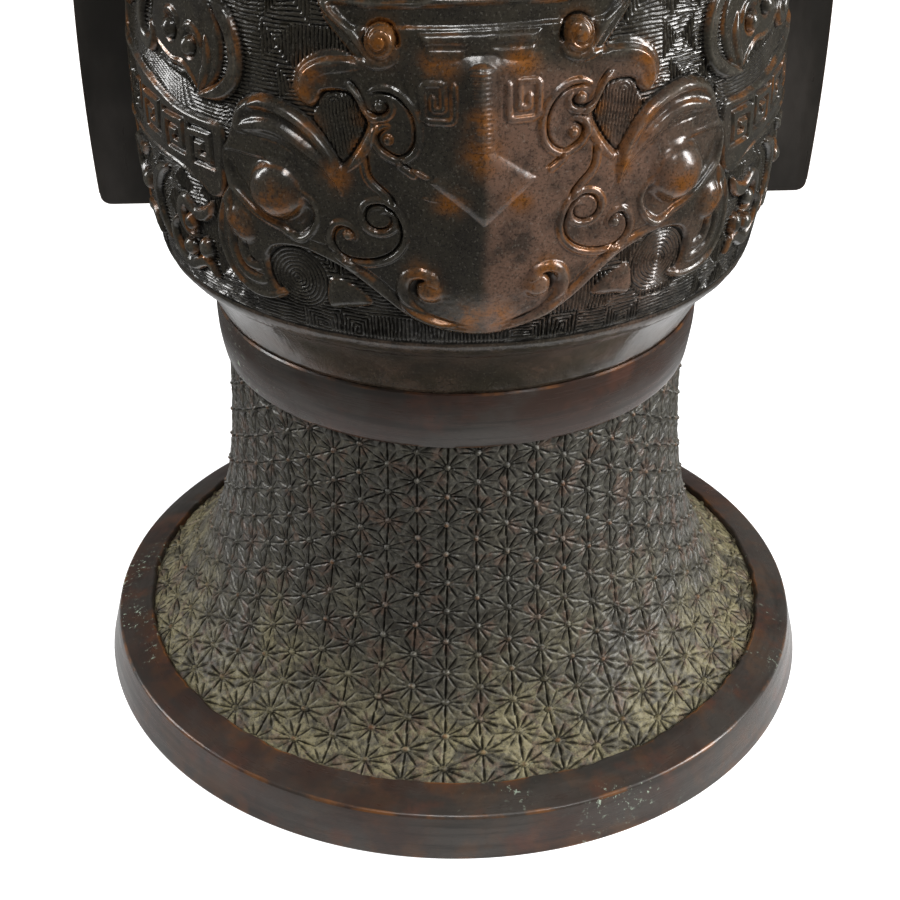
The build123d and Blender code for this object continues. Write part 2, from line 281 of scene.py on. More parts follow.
class Relief:
    """Heights in millimetres over a wall. The fine ground shows where the plain layer is 0."""

    def __init__(self, across, up):
        self.across = across
        self.up = up
        self.height = np.zeros(across.shape)
        self.plain = np.zeros(across.shape)
        self.ground = np.zeros(across.shape)

    def seen_from(self, across):
        """The same layers, drawn on in another coordinate across."""
        other = Relief.__new__(Relief)
        other.__dict__.update(self.__dict__)
        other.across = across
        return other

    def near(self, points, reach):
        """Where the wall lies within reach of the box round some points."""
        low = np.min(points, axis=0) - reach
        high = np.max(points, axis=0) + reach
        found = (self.across > low[0]) & (self.across < high[0]) & (self.up > low[1]) & (self.up < high[1])
        return np.nonzero(found)

    def cover(self, at, amount):
        """Hides the fine ground there."""
        self.plain[at] = np.maximum(self.plain[at], amount)

    def depth_in(self, outline, at):
        """Distance inside a closed outline, negative outside."""
        x, y = self.across[at], self.up[at]
        gap = distance_to(np.vstack([outline, outline[:1]]), x, y)[0]
        return np.where(inside(outline, x, y), gap, -gap)

    def plate(self, outline, rise, edge, moat=0.5):
        """Raised plate with a rounded edge."""
        at = self.near(outline, edge + moat)
        depth = self.depth_in(outline, at)
        top = rise * np.sqrt(step_up(depth / edge + EDGE_START))
        self.height[at] = np.maximum(self.height[at], top)
        self.cover(at, step_up((depth + moat) / GROUND_FADE))

    def band(self, line, half_width, rise, edge, taper=(0.0, 0.0), moat=0.4):
        """Raised band along a line, narrowing over the taper shares at its ends."""
        at = self.near(line, half_width + moat + edge)
        gap, along = distance_to(line, self.across[at], self.up[at])
        width = half_width * narrowing(along, taper)
        top = rise * np.sqrt(step_up((width - gap) / edge + EDGE_START))
        self.height[at] = np.maximum(self.height[at], top * (gap < width + edge))
        self.cover(at, step_up((width + moat - gap) / GROUND_FADE))

    def bead(self, line, half_width, rise, taper=(0.2, 0.2)):
        """Round ridge on what is there, or a groove if the rise is negative."""
        at = self.near(line, half_width)
        gap, along = distance_to(line, self.across[at], self.up[at])
        width = np.maximum(half_width * narrowing(along, taper), 0.05)
        shape = np.clip(1 - (gap / width) ** 2, 0, 1)
        self.height[at] += rise * shape ** (0.75 if rise > 0 else 1.2) * narrowing(along, taper)
        self.cover(at, step_up((width + 0.3 - gap) / 0.3))

    def cord(self, line, side=1.0, rise=0.62, depth=0.45, width=0.85, taper=(0.1, 0.1)):
        """Cut line with a rolled cord along one side of it and a low lip along the other."""
        self.bead(line, 0.5 * width, -depth, taper)
        self.bead(beside(line, side * width * 1.1), width, rise, taper)
        self.bead(beside(line, -side * width * 0.85), 0.6 * width, 0.25 * rise, taper)

    def oval_reach(self, centre, radii, tilt, at):
        """Distance from a centre, squared; 1 is the edge of an oval of the given radii."""
        x, y = self.across[at] - centre[0], self.up[at] - centre[1]
        turn = math.radians(tilt)
        along = (x * math.cos(turn) + y * math.sin(turn)) / radii[0]
        over = (y * math.cos(turn) - x * math.sin(turn)) / radii[1]
        return along**2 + over**2

    def dome(self, centre, radii, rise, foot):
        """Rounded boss on a foot of the given height, with a crease round it."""
        at = self.near(np.array([centre]), max(radii) + 1.0)
        square = self.oval_reach(centre, radii, 0.0, at)
        reach = np.sqrt(square)
        top = np.where(square < 1, foot + rise * np.clip(1 - square, 0, 1) ** 0.55, 0)
        crease = 0.35 * np.exp(-(((reach - 1.06) * min(radii) / 0.5) ** 2))
        self.height[at] = np.maximum(self.height[at] - crease, top)
        self.cover(at, step_up((1.12 - reach) * min(radii) / 0.5))

    def swell(self, centre, radii, rise, foot, tilt=0.0):
        """Boss that grows out of the surface with a soft skirt."""
        at = self.near(np.array([centre]), max(radii) * 1.7)
        reach = np.sqrt(self.oval_reach(centre, radii, tilt, at))
        ball = np.sqrt(np.clip(1 - (reach / 1.08) ** 2, 0, 1))
        skirt = 0.378 * np.clip((1.3 - reach) / 0.3, 0, 1) ** 2
        under = step_up((1.2 - reach) / 0.25)
        base = self.height[at] * (1 - under) + foot * under
        self.height[at] = base + rise * np.where(reach < 1, ball, skirt)
        self.cover(at, step_up((1.2 - reach) * min(radii) / 0.5))

    def contour_hatch(self, outline, guide, pitch, depth):
        """Ground lines inside an outline that run parallel to a guide line."""
        at = self.near(outline, 0.5)
        fill = step_up(self.depth_in(outline, at) / 0.4)
        gap = distance_to(guide, self.across[at], self.up[at])[0]
        lines = depth / 2 * wave(gap / pitch)
        self.ground[at] = self.ground[at] * (1 - fill) + lines * fill


def narrowing(along, taper):
    """Share of the full width at a place along a line that tapers at its ends."""
    first = np.ones_like(along) if taper[0] <= 0 else np.clip(along / taper[0], 0, 1)
    last = np.ones_like(along) if taper[1] <= 0 else np.clip((1 - along) / taper[1], 0, 1)
    return np.sqrt(first * last)


def wave(turns):
    """Rounded square wave between -1 and 1."""
    return np.tanh(1.6 * np.cos(2 * np.pi * turns)) / math.tanh(1.6)


# The mask. Points are millimetres across from its middle and up from the middle of the belly, on one side.

FOREHEAD_EDGE = [(-6, 36.6), (14, 36.6), (33.4, 36.6), (28.2, 31.2), (23.6, 26.0)]
EAR_HOOK = [(27, 25.6), (31.5, 25.4), (34.9, 24.3), (37.4, 22.2), (38.3, 19.4), (37.8, 16.9), (36, 15.3)]
EAR_INSIDE = [(34.4, 16.6), (33.6, 18.3), (31.5, 19.1), (28.5, 19.2), (26.4, 18.3)]
LEAF_BAY = [(24.6, 15.8), (23.2, 12.6), (24.6, 9.1), (26.7, 5.9), (29, 3.7)]
BROW_BACK = [
    (30.6, 5.4), (33, 8.8), (35.9, 11.6), (39.5, 13.8), (43.3, 15.3), (47.8, 15.9), (51.7, 14.7),
    (55, 12.4),
]
EYE_CORNER = [(56.6, 8.6), (57.9, 5.2), (59.6, 2.2), (59.4, -1.8), (59.0, -5.2)]
JAW_CURL = [
    (60.6, -7.4), (62.6, -9.8), (64.2, -14.1), (64.7, -19.1), (63.7, -24), (61.2, -28), (57.4, -30.4),
    (53, -31.3), (49, -30.8), (46.3, -29.0),
]
CURL_INSIDE = [(48.4, -28.2), (50, -26), (50.4, -22.8), (49.8, -19.9), (47.6, -17.6)]
JAW_LINE = [
    (43.5, -16.7), (39, -16.8), (34, -18.2), (29.4, -20.4), (25, -23.5), (21.2, -26.8), (17.4, -29.8),
    (13, -32.2), (8.5, -33.8), (4, -34.8), (0, -35.1), (-6, -34.4),
]
EYE_SOCKET = [
    (59.2, 2.6), (59.0, -1.2), (57.4, -5.0), (54.3, -7.6), (51, -9.8), (47.4, -11.2), (44.6, -12.0),
    (42.7, -13.0), (40.1, -13.8), (37.3, -12.0), (35.6, -8.6), (36.0, -5.9), (37.9, -3.6), (41.0, -0.2),
    (45.5, 2.6), (52, 3.2),
]
FANG = [
    (33.4, -23.1), (31, -23.6), (28.1, -25.0), (25.2, -27.6), (26.6, -28.6), (30.6, -29.3), (34.5, -29.9),
    (34.7, -26),
]
LEAF_PANEL = [
    (26, 17.8), (28.5, 18.9), (31.5, 18.8), (33.4, 17.9), (34.4, 15.8), (35.6, 12.6), (33.4, 9.6),
    (30.6, 5.6), (29, 3.9), (26.8, 6.1), (24.8, 9.3), (23.6, 12.6), (24.8, 15.8),
]
LEAF_HEART = [(30.6, 16.4), (30.3, 13), (29.6, 9), (29.2, 6)]
EYE = (44.9, -3.7)
SIDE_BOSS = (56.4, -13.8)
HORN_BOSS = (20.3, 29.4)
NOSTRIL = (11.6, -22.9)


def fold_of(relief):
    """Share of the fold's height down the middle of the face, crisp on the nose and soft below it."""
    round_off = 0.5 + 3.0 * step_up((-2 - relief.up) / 10)
    return np.clip(1 - (np.hypot(relief.across, round_off) - round_off) / 18.0, 0, 1)


def draw_face(relief, sizes):
    """Smooth face plate, from the forehead to the jaw, with the ear hooks and the curls at its sides."""
    outline = (
        FOREHEAD_EDGE + EAR_HOOK + EAR_INSIDE + LEAF_BAY + BROW_BACK
        + EYE_CORNER + JAW_CURL + CURL_INSIDE + JAW_LINE
    )
    rise = sizes.face_rise / MM
    relief.plate(smooth_through(outline, closed=True), rise, edge=1.3)
    relief.bead(smooth_through(EAR_HOOK[:1] + EAR_HOOK), 1.5, 0.35, taper=(0.2, 0.25))
    fade = step_up((relief.up + 37) / 16) * step_up((29 - relief.up) / 6)
    relief.height += sizes.keel_rise / MM * fold_of(relief) * fade


def draw_ears(relief):
    """Rolled edge of the ear hooks and the contour beside the leaf bay."""
    hook = smooth_through([(24.6, 24.0), (28, 24.2), (32, 23.8), (35, 22.2), (36.7, 19.4), (36.3, 17)])
    relief.bead(hook, 1.6, 0.55, taper=(0.3, 0.3))
    bay = smooth_through([
        (27.2, 20.6), (25.2, 18.6), (23.2, 15.4), (21.9, 12.4), (23.4, 8.6), (25.6, 5.2), (28.2, 2.4),
    ])
    relief.bead(bay, 1.05, 0.5)


def draw_brows(relief, sizes):
    """Eyebrow with a channel between two rolled rims, pointed at the nose."""
    back = [
        (29.0, -4.2), (28.9, 0), (29.5, 3.2), (31, 6), (33.3, 8.9), (36.1, 11.6), (39.6, 13.8),
        (43.4, 15.3),
    ]
    end = [(47.8, 15.8), (51.7, 14.6), (54.8, 12.2), (56.2, 9.2), (55.4, 7.2)]
    front = [(53, 6.9), (49.6, 7), (44.7, 6.6), (40.4, 5.2), (36.5, 3.4), (33.4, 1.5), (30.8, -0.9)]
    outline = smooth_through(back + end + front, closed=True)
    rise = sizes.brow_rise / MM
    relief.plate(outline, rise - 0.45, edge=1.6)
    upper = smooth_through([
        (29.3, -3), (29.8, 1), (31.3, 4.6), (34.1, 8.2), (37, 10.9), (40.3, 12.8), (44, 14), (48, 14.4),
        (51.4, 13.4),
    ])
    lower = smooth_through([
        (30.6, 0.2), (33.4, 3.9), (37.4, 6.9), (42, 9.3), (46.5, 10.2), (51, 9.5), (54, 8.4),
    ])
    channel = smooth_through([
        (30.9, 2.6), (33.9, 6.3), (37.4, 9), (42, 11.5), (46.5, 12.4), (50.5, 11.8), (53.6, 10.4),
    ])
    relief.bead(upper, 1.5, 0.65, taper=(0.25, 0.15))
    relief.bead(lower, 1.3, 0.5, taper=(0.3, 0.15))
    relief.bead(channel, 1.6, -0.6, taper=(0.2, 0.12))
    relief.bead(beside(smooth_through(front), -0.8), 0.9, -0.4)


def draw_eyes(relief, sizes):
    """Almond socket with a tear pouch, eyeball, and the comma-shaped boss at the jaw's hinge."""
    rise = sizes.eye_rise / MM
    face = sizes.face_rise / MM
    socket = smooth_through(EYE_SOCKET, closed=True)
    at = relief.near(socket, 1.0)
    depth = relief.depth_in(socket, at)
    relief.height[at] -= 0.45 * step_up(depth / 1.1 + 0.2) - 0.12 * np.exp(-((depth + 0.3) ** 2) / 0.5)
    lid = smooth_through(EYE_SOCKET[:10])
    relief.bead(beside(lid, 0.5), 0.85, 0.45, taper=(0.12, 0.1))
    rim = smooth_through(EYE_SOCKET[7:14])
    relief.bead(rim, 0.95, 0.55, taper=(0.15, 0.4))
    pouch = smooth_through([(41.2, -11.4), (39.0, -11.3), (37.6, -9.2), (38.0, -6.6)])
    relief.bead(pouch, 1.3, -0.4, taper=(0.3, 0.3))
    corner = smooth_through([(57.6, 1.4), (56.8, -2.2), (54.6, -5.0), (52.4, -7)])
    relief.bead(corner, 1.5, -0.4, taper=(0.3, 0.3))
    relief.swell(EYE, (6.4, 5.8), rise, tilt=-15, foot=face - 0.4)
    relief.swell(SIDE_BOSS, (4.2, 3.6), 1.7, tilt=35, foot=face - 0.3)
    tail = smooth_through([(58.6, -5.8), (59.7, -9), (59.2, -12.4), (57, -15)])
    relief.bead(tail, 1.5, 0.7, taper=(0.3, 0.5))


def draw_curls(relief):
    """Rolled rim of the jaw's outer curl and the crescents inside it."""
    rim = smooth_through(JAW_CURL[1:])
    relief.bead(beside(rim, -0.9), 1.0, 0.5, taper=(0.15, 0.1))
    for shift, width in ((-4.4, 1.5), (-7.6, 1.3)):
        crescent = smooth_through(beside(smooth_through(JAW_CURL[1:], step=4.0), shift)[2:-2])
        relief.bead(crescent, width, 0.55, taper=(0.3, 0.3))
        relief.bead(beside(crescent, -width), 0.6, -0.45, taper=(0.3, 0.3))


def draw_nose(relief, sizes):
    """Bridge with fine cross cuts, lozenge, and spiral nostrils."""
    face = sizes.face_rise / MM
    keel = sizes.keel_rise / MM
    ridge = keel * fold_of(relief)
    bridge = step_up((relief.up - 7.0) / 1.5) * step_up((27.5 - relief.up) / 4.0)
    bridge = bridge * (np.abs(relief.across) < 4.6)
    roof = face + ridge + 1.2 * sizes.bridge_rise / MM * np.exp(-((relief.across / 2.0) ** 2)) - 0.1
    relief.height = np.where(bridge > 0, np.maximum(relief.height, roof * bridge), relief.height)
    for height in np.arange(9.8, 24.5, 0.95):
        relief.bead(np.array([(-2.2, height), (2.2, height - 0.15)]), 0.32, -0.2, taper=(0.2, 0.2))
    lozenge = np.array([(0, 9.8), (11.0, 1.7), (0, -7.8), (-11.0, 1.7)])
    at = relief.near(lozenge, 0.8)
    depth = relief.depth_in(lozenge, at)
    slab = face - 0.1 + sizes.lozenge_rise / MM * step_up(depth / 2.4 + 0.12) ** 0.6
    slab = slab + 0.06 * np.clip(depth, 0, 7) + ridge[at]
    relief.height[at] = np.where(depth > -0.15, np.maximum(relief.height[at], slab), relief.height[at])
    ring = smooth_through([
        (9.7, -21.6), (10.6, -20.1), (12.3, -19.1), (14.2, -18.9), (16.2, -19.8), (17.4, -21.8),
        (17.5, -24.2), (16.6, -26.8), (14.6, -29), (11, -31), (6, -32.4),
    ])
    groove = smooth_through([(14.6, -25.6), (15, -23), (13.8, -20.9), (11.6, -20.4)])
    relief.bead(groove, 1.2, -0.6, taper=(0.3, 0.3))
    relief.swell(NOSTRIL, (2.6, 2.5), 1.6, foot=face + 1.2)
    relief.bead(ring, 1.5, 1.15, taper=(0.08, 0.35))


def draw_jaw(relief, sizes):
    """Rolled rim along the jaw, and the fang under it."""
    rim = beside(smooth_through(JAW_LINE[1:-2]), -1.1)
    relief.bead(rim, 1.1, 0.45, taper=(0.1, 0.15))
    relief.bead(beside(rim, -1.7), 0.6, -0.3, taper=(0.1, 0.15))
    fang = smooth_through(FANG, closed=True)
    relief.plate(fang, sizes.face_rise / MM - 0.15, edge=2.2)


def draw_forehead(relief, sizes):
    """Sunk brow band, blocks at the top of the nose, and the curled horns."""
    face = sizes.face_rise / MM
    sunk = smooth_through([(-6, 36), (20, 36), (31.4, 36), (26.5, 31.6), (14, 31.8), (-6, 31.8)], closed=True)
    at = relief.near(sunk, 1.0)
    relief.height[at] -= 0.75 * step_up(relief.depth_in(sunk, at) / 1.2 + 0.3)
    block = np.array([(-3, 31.0), (12.6, 31.2), (11.2, 28), (10.6, 25), (4, 24.4), (2.6, 26), (-3, 26)])
    relief.plate(block, face + 1.0, edge=2.0)
    relief.bead(np.array([(2.0, 28.1), (11.4, 28.5)]), 0.9, -0.4)
    horn = smooth_through([
        (33.2, 36.2), (30.2, 33), (27, 29.6), (24.4, 26.8), (21.4, 25.6), (18.2, 26.6), (16.7, 29.4),
    ])
    relief.bead(horn, 1.9, 0.85, taper=(0.12, 0.12))
    relief.dome(HORN_BOSS, (3.5, 3.5), 2.2, foot=face)
    relief.bead(spiral(HORN_BOSS, (3.6, 1.0), 200, -1.35), 0.65, -0.75, taper=(0.02, 0.3))


def draw_scrolls(relief):
    """Cut scrolls on the cheeks and beside the nose."""
    upper = smooth_through([
        (22.9, 18.2), (21, 19.2), (18.6, 19.2), (16.4, 18.3), (14.6, 16.5), (13.5, 14.2), (13.2, 12),
        (13.5, 9.6), (14.8, 7.6), (16.9, 6.6), (19.3, 7.5), (20.8, 9), (20.9, 10.7), (19.5, 11.8),
        (18.3, 11.5),
    ])
    curl = smooth_through([
        (27.4, 21.8), (25.6, 20), (24.1, 17.7), (23.2, 15.8), (21.4, 14.9), (19.6, 15.2), (18.8, 16.4),
        (19.6, 17.5),
    ])
    spur = smooth_through([(16.8, 6), (15, 4.6), (12.8, 3.3)])
    cheek = smooth_through([
        (21.2, -7), (20.2, -6.3), (19.2, -7), (19.6, -8.7), (21.6, -9.6), (23.8, -9), (24.8, -7),
        (23.8, -4.8), (21.5, -4), (19.2, -4.9), (17.6, -7.2), (17, -9.8), (17.6, -12.5), (19.8, -15),
        (22.8, -16.5), (26.4, -17), (29.8, -16.5), (32, -14.5), (32.2, -11.9), (30.9, -9.9), (29.1, -9.8),
        (28, -11.2), (28.6, -12.6),
    ])
    contour = smooth_through([(23.5, 6.6), (23.2, 3.2), (22.2, 1.2), (20, -0.9), (18.6, -2.6), (17.9, -4.6)])
    whisker = smooth_through([(29.8, -16.6), (28, -17.9), (26.4, -18.8)])
    relief.cord(upper, side=-1)
    relief.cord(curl, side=1)
    relief.cord(spur, side=1, rise=0.4)
    relief.cord(cheek, side=-1)
    relief.cord(contour, side=1, rise=0.5)
    relief.cord(whisker, side=1, rise=0.35, depth=0.3)
    for centre in ((20.6, 16.7), (18.9, 9.9), (28.9, -11.4)):
        relief.swell(centre, (0.95, 0.95), 0.7, foot=1.6)
    turns = [
        (5.3, 22.0), (5.3, 14.2), (11.5, 14.2), (11.5, 21.6), (7.4, 21.6), (7.4, 16.5), (9.5, 16.5),
        (9.5, 19.6),
    ]
    bracket = rounded(turns, [0, 1.4, 1.6, 1.2, 0.7, 0.6, 0.6, 0])
    relief.bead(bracket, 1.5, -0.2, taper=(0, 0))
    relief.bead(bracket, 0.8, 0.6, taper=(0.03, 0.03))


def draw_whiskers(relief):
    """Leaves beside the nose, on one side only."""
    for leaf in (
        [(14.8, 4.0), (11.6, 1.8), (9.8, 2.6), (12.6, 4.4)],
        [(13.2, -1.6), (9.5, -3.4), (5.8, -3.0), (9.0, -1.2)],
        [(9.4, 6.6), (6.2, 5.0), (4.6, 7.6), (7.0, 8.0)],
    ):
        relief.plate(smooth_through(leaf, closed=True), 2.6, edge=1.6)


def draw_dragons(relief, sizes):
    """Coiled dragon's head between the mask and the flange, above the fret band."""
    pitch, depth = sizes.ground_pitch / MM, sizes.ground_depth / MM
    back = smooth_through([
        (62.5, 33.4), (60, 31.8), (57, 28.8), (55.3, 25.1), (54.9, 21.1), (56.4, 17.3), (60.2, 14.5),
        (64.6, 13.1), (67, 12.6),
    ])
    plate = smooth_through(
        [(64.5, 32), (61, 28.8), (59.4, 24), (60.2, 19), (62.6, 15.6), (66.6, 12.8), (69.6, 15.4), (73, 17.2),
         (77, 17.4), (81.6, 18.6), (86, 21), (87, 26), (84, 31), (76, 34), (69, 34)],
        closed=True,
    )
    relief.plate(plate, 0.75, edge=1.2)
    relief.band(back, 1.7, 1.55, edge=1.3, taper=(0.15, 0.3))
    inner = smooth_through([(64.5, 25.6), (63.6, 22), (64.2, 18.4), (66.6, 13.2)])
    relief.bead(inner, 1.3, 0.75, taper=(0.3, 0.25))
    mouth = smooth_through([(67, 13.6), (69.4, 16), (73, 17.8), (77, 17.6), (81.4, 18.6), (85.4, 20.6)])
    relief.bead(mouth, 0.9, 0.5)
    for centre, brow in (
        ((70.3, 22.2), [(73.2, 25.2), (70, 26.6), (66.9, 25.2), (65.8, 22.6)]),
        ((78.2, 24.2), [(81.2, 26.8), (78.2, 28.2), (75.4, 27), (74.6, 24.6)]),
    ):
        relief.dome(centre, (2.2, 2.2), 1.7, foot=0.7)
        relief.bead(smooth_through(brow), 0.8, 0.6)
    tail = smooth_through([
        (88, 33), (92, 29), (94, 24), (92.4, 19.6), (88.6, 18.2), (86.2, 20.8), (87.6, 23.4),
    ])
    relief.band(tail, 1.5, 1.4, edge=1.2, taper=(0.2, 0.25))
    wing = smooth_through([(98, 33.5), (101.6, 27.4), (107, 23.6), (113, 23.2), (113.4, 27), (110, 28.4)])
    relief.band(wing, 1.5, 1.3, edge=1.2, taper=(0.2, 0.25))
    relief.dome((109.6, 26.4), (1.7, 1.7), 1.2, foot=0.6)
    under = smooth_through([(57, 8.0), (64, 7.4), (72, 7.6), (80, 8.8), (90, 12), (100, 14.5), (115, 16)])
    strip = np.vstack([under, [
        (115, 21.5), (100, 19.5), (90, 17), (80, 15.4), (72, 14.5), (66, 11), (58, 12.4),
    ]])
    relief.contour_hatch(strip, under, pitch, depth * 1.15)


FRET_KEY = [(9.4, -0.2), (0, 0), (0.2, -8.0), (7.4, -7.8), (7.6, -2.9), (3.0, -2.9), (3.0, -5.4), (5.2, -5.4)]


def draw_fret_band(relief):
    """Plain band with a key fret, from the eye to the flange."""
    top = [(60.5, 6.6), (70, 6.9), (80, 8), (92, 10.6), (104, 12.4), (119, 13.4)]
    low = [
        (119, -4.4), (104, -4.6), (92, -5), (83, -5.6), (76, -6.3), (70, -8), (66, -10.2), (62, -8),
        (60.6, -2),
    ]
    relief.plate(smooth_through(top + low, closed=True), 0.7, edge=1.0)
    relief.bead(smooth_through(top), 0.7, 0.45)
    relief.bead(smooth_through(low[:7]), 0.8, 0.55)
    for number in range(5):
        corner = (63.6 + 10.9 * number, 4.6 + 1.05 * number)
        relief.bead(np.array(FRET_KEY) + corner, 0.72, -0.85, taper=(0.01, 0.01))


LOWER_BODY = [(66.6, -12), (69, -15), (73.4, -16.6), (78, -14.6), (80.6, -18), (78.6, -22), (74.4, -22.6)]
LOWER_FOOT = [(69, -31.6), (72, -28.4), (75.6, -29.4), (80, -31.4), (84.6, -29), (86.4, -24.6), (84, -21)]
LOWER_BACK = [(85, -9), (90.5, -12), (93.6, -17.6), (92.4, -24), (88, -28.4)]
HIND_LEG = [
    (97, -8), (102, -11), (108, -10.6), (112.4, -14), (112, -19), (107.8, -21.2), (104.4, -18.6),
    (106.4, -16),
]
CLAW = [(97, -30.4), (101.6, -26.4), (107.6, -27), (113, -30.4)]


def draw_lower_scrolls(relief):
    """Curled body and bosses below the fret band."""
    for points, half_width, rise, edge, taper in (
        (LOWER_BODY, 1.5, 1.35, 1.2, (0.2, 0.25)),
        (LOWER_FOOT, 1.4, 1.3, 1.1, (0.2, 0.25)),
        (LOWER_BACK, 1.6, 1.3, 1.2, (0.25, 0.25)),
        (HIND_LEG, 1.5, 1.35, 1.2, (0.2, 0.2)),
        (CLAW, 1.4, 1.2, 1.1, (0.25, 0.25)),
    ):
        relief.band(smooth_through(points), half_width, rise, edge, taper)
    for centre, radii in (
        ((75.8, -19.2), (2.3, 2.1)),
        ((78.2, -26.2), (2.5, 2.2)),
        ((71.4, -24.6), (2.2, 2.6)),
        ((100, -17.6), (2.4, 2.4)),
    ):
        relief.dome(centre, radii, 1.9, foot=0.4)


def draw_borders(relief):
    """Plain upright bands beside the flanges."""
    for across, width in ((116.4, 0.9), (119.6, 1.4)):
        relief.band(np.array([(across, -39), (across, 39)]), width, 0.75, edge=0.8)


# How far the thunder ground reaches from the middle of a mask, up and to the sides
GROUND_TOP = 40.0
GROUND_SIDE = 123.0


def thunder_ground(across, up, sizes, seed):
    """Patchwork of squared spirals and hatches, in millimetres about the wall."""
    pitch, depth = sizes.ground_pitch / MM, sizes.ground_depth / MM
    dice = np.random.default_rng(seed)
    lines = np.zeros(across.shape)
    low = -GROUND_TOP
    while low < GROUND_TOP:
        high = low + dice.uniform(6.4, 9.0)
        left = -GROUND_SIDE
        while left < GROUND_SIDE:
            right = left + dice.uniform(7.0, 12.5)
            kind = dice.integers(0, 6)
            hand = dice.choice((-1, 1))
            at = np.nonzero((across >= left) & (across < right) & (up >= low) & (up < high))
            x = across[at] - (left + right) / 2
            y = up[at] - (low + high) / 2
            edge = np.minimum((right - left) / 2 - np.abs(x), (high - low) / 2 - np.abs(y))
            if kind < 2:
                turns = y / pitch
            elif kind == 2:
                turns = x / pitch
            else:
                turns = edge / pitch + hand * np.arctan2(y, x) / (2 * np.pi)
            lines[at] = depth / 2 * wave(turns) - 0.15 * depth * np.exp(-((edge / 0.3) ** 2))
            left = right
        low = high
    return lines


MASK_TURN = math.radians(0.2)


def mask_across(turn, radius):
    """Millimetres across from the middle of the nearer mask; the mask is set a little to one side."""
    return (np.mod(turn - MASK_TURN + np.pi / 2, np.pi) - np.pi / 2) * radius


# Rubbed places: across, up, size
RUBBED = [
    (EYE[0] - 0.8, EYE[1] - 1.9, 3.7), (*NOSTRIL, 2.4), (13.4, -19.2, 2.6), (*HORN_BOSS, 3.2), (0, 7.6, 3.4),
    (7.0, -2.4, 2.6), (*SIDE_BOSS, 2.6), (35.6, 22.4, 2.6), (37.2, 18, 2.4), (30.2, 1.2, 2.6),
    (36, 10.2, 2.4), (0, 14, 2.6), (24.4, 14.2, 1.8), (25.2, 7.6, 1.8), (8, 25.4, 3.0), (3, -30, 3.6),
]


def rubbed_places(relief):
    """1 where hands have polished the mask."""
    amount = np.zeros(relief.up.shape)
    for across, up, size in RUBBED:
        at = relief.near(np.array([(across, up)]), 2.5 * size)
        gap = np.hypot(relief.across[at] - across, relief.up[at] - up)
        amount[at] = np.maximum(amount[at], np.exp(-((gap / size) ** 2)))
    return amount


# Lean of the masks, and where their ground ends, up and down from the middle
ASKEW = 0.026
LEDGE = 38.0


def mask_relief(turn, up, sizes, round_trip):
    """Heights of the belly's pattern, its rubbed places and its smooth parts; front and back are alike."""
    radius = round_trip / (2 * np.pi)
    around = np.broadcast_to(turn * radius, up.shape)
    wander = [soft_noise(around, up, 13.0, seed, round_trip) for seed in (11, 12)]
    tremble = [0.2 * soft_noise(around, up, 2.6, seed, round_trip) for seed in (13, 14)]
    plumb = mask_across(turn, radius)
    askew = ASKEW * np.clip(plumb, -60, 60)
    lean = ASKEW * np.clip(up, -40, 40) * step_up((90 - np.abs(plumb)) / 30)
    across = plumb + lean + 0.35 * wander[0]
    height = up + 0.3 * wander[1]
    spread = np.minimum(1.3 * np.tan(np.minimum(np.abs(across) / radius * 1.23, 1.3)), 3.0)
    relief = Relief(np.abs(across) + spread, height - askew - 0.55)
    relief.ground = thunder_ground(across + tremble[0], height + tremble[1], sizes, 5)
    draw_dragons(relief, sizes)
    draw_fret_band(relief)
    draw_lower_scrolls(relief)
    draw_face(relief, sizes)
    draw_forehead(relief, sizes)
    draw_ears(relief)
    draw_scrolls(relief)
    draw_nose(relief, sizes)
    draw_jaw(relief, sizes)
    draw_curls(relief)
    draw_brows(relief, sizes)
    draw_eyes(relief, sizes)
    draw_whiskers(relief.seen_from(-across - np.sign(across) * spread))
    draw_borders(relief)
    pitch, depth = sizes.ground_pitch / MM, sizes.ground_depth / MM
    leaf = smooth_through(LEAF_PANEL, closed=True)
    at = relief.near(leaf, 1.0)
    relief.height[at] = np.maximum(relief.height[at], 0.6 * step_up(relief.depth_in(leaf, at) / 0.8))
    relief.contour_hatch(leaf, smooth_through(LEAF_HEART), 0.9 * pitch, 0.85 * depth)
    rings = np.hypot((relief.across - 42.8) / 1.05, relief.up + 24.4)
    rings = rings + 0.25 * soft_noise(around, up, 3.0, 15, round_trip)
    oval = step_up((8.4 - rings) / 1.2) * step_up((relief.up + 34) / 2)
    relief.ground = relief.ground * (1 - oval) + oval * depth / 2 * wave(rings / pitch)
    worn = 0.75 + 0.35 * soft_noise(around, up, 7.0, 16, round_trip)
    ground = worn * relief.ground - 0.2 * depth
    lumps = sum(
        rise * soft_noise(around, up, size, seed, round_trip)
        for rise, size, seed in ((0.03, 0.8, 20), (0.05, 3.1, 21), (0.09, 9.0, 22))
    )
    inlaid = relief.height + (1 - relief.plain) * ground
    ledge = np.abs(up) - LEDGE
    wall = inlaid * step_up(-ledge / 0.5) - 0.4 * np.exp(-((ledge / 0.45) ** 2)) + lumps
    return wall, rubbed_places(relief), relief.plain


STUD_RADIUS = 0.6
STAR_ROWS = 64


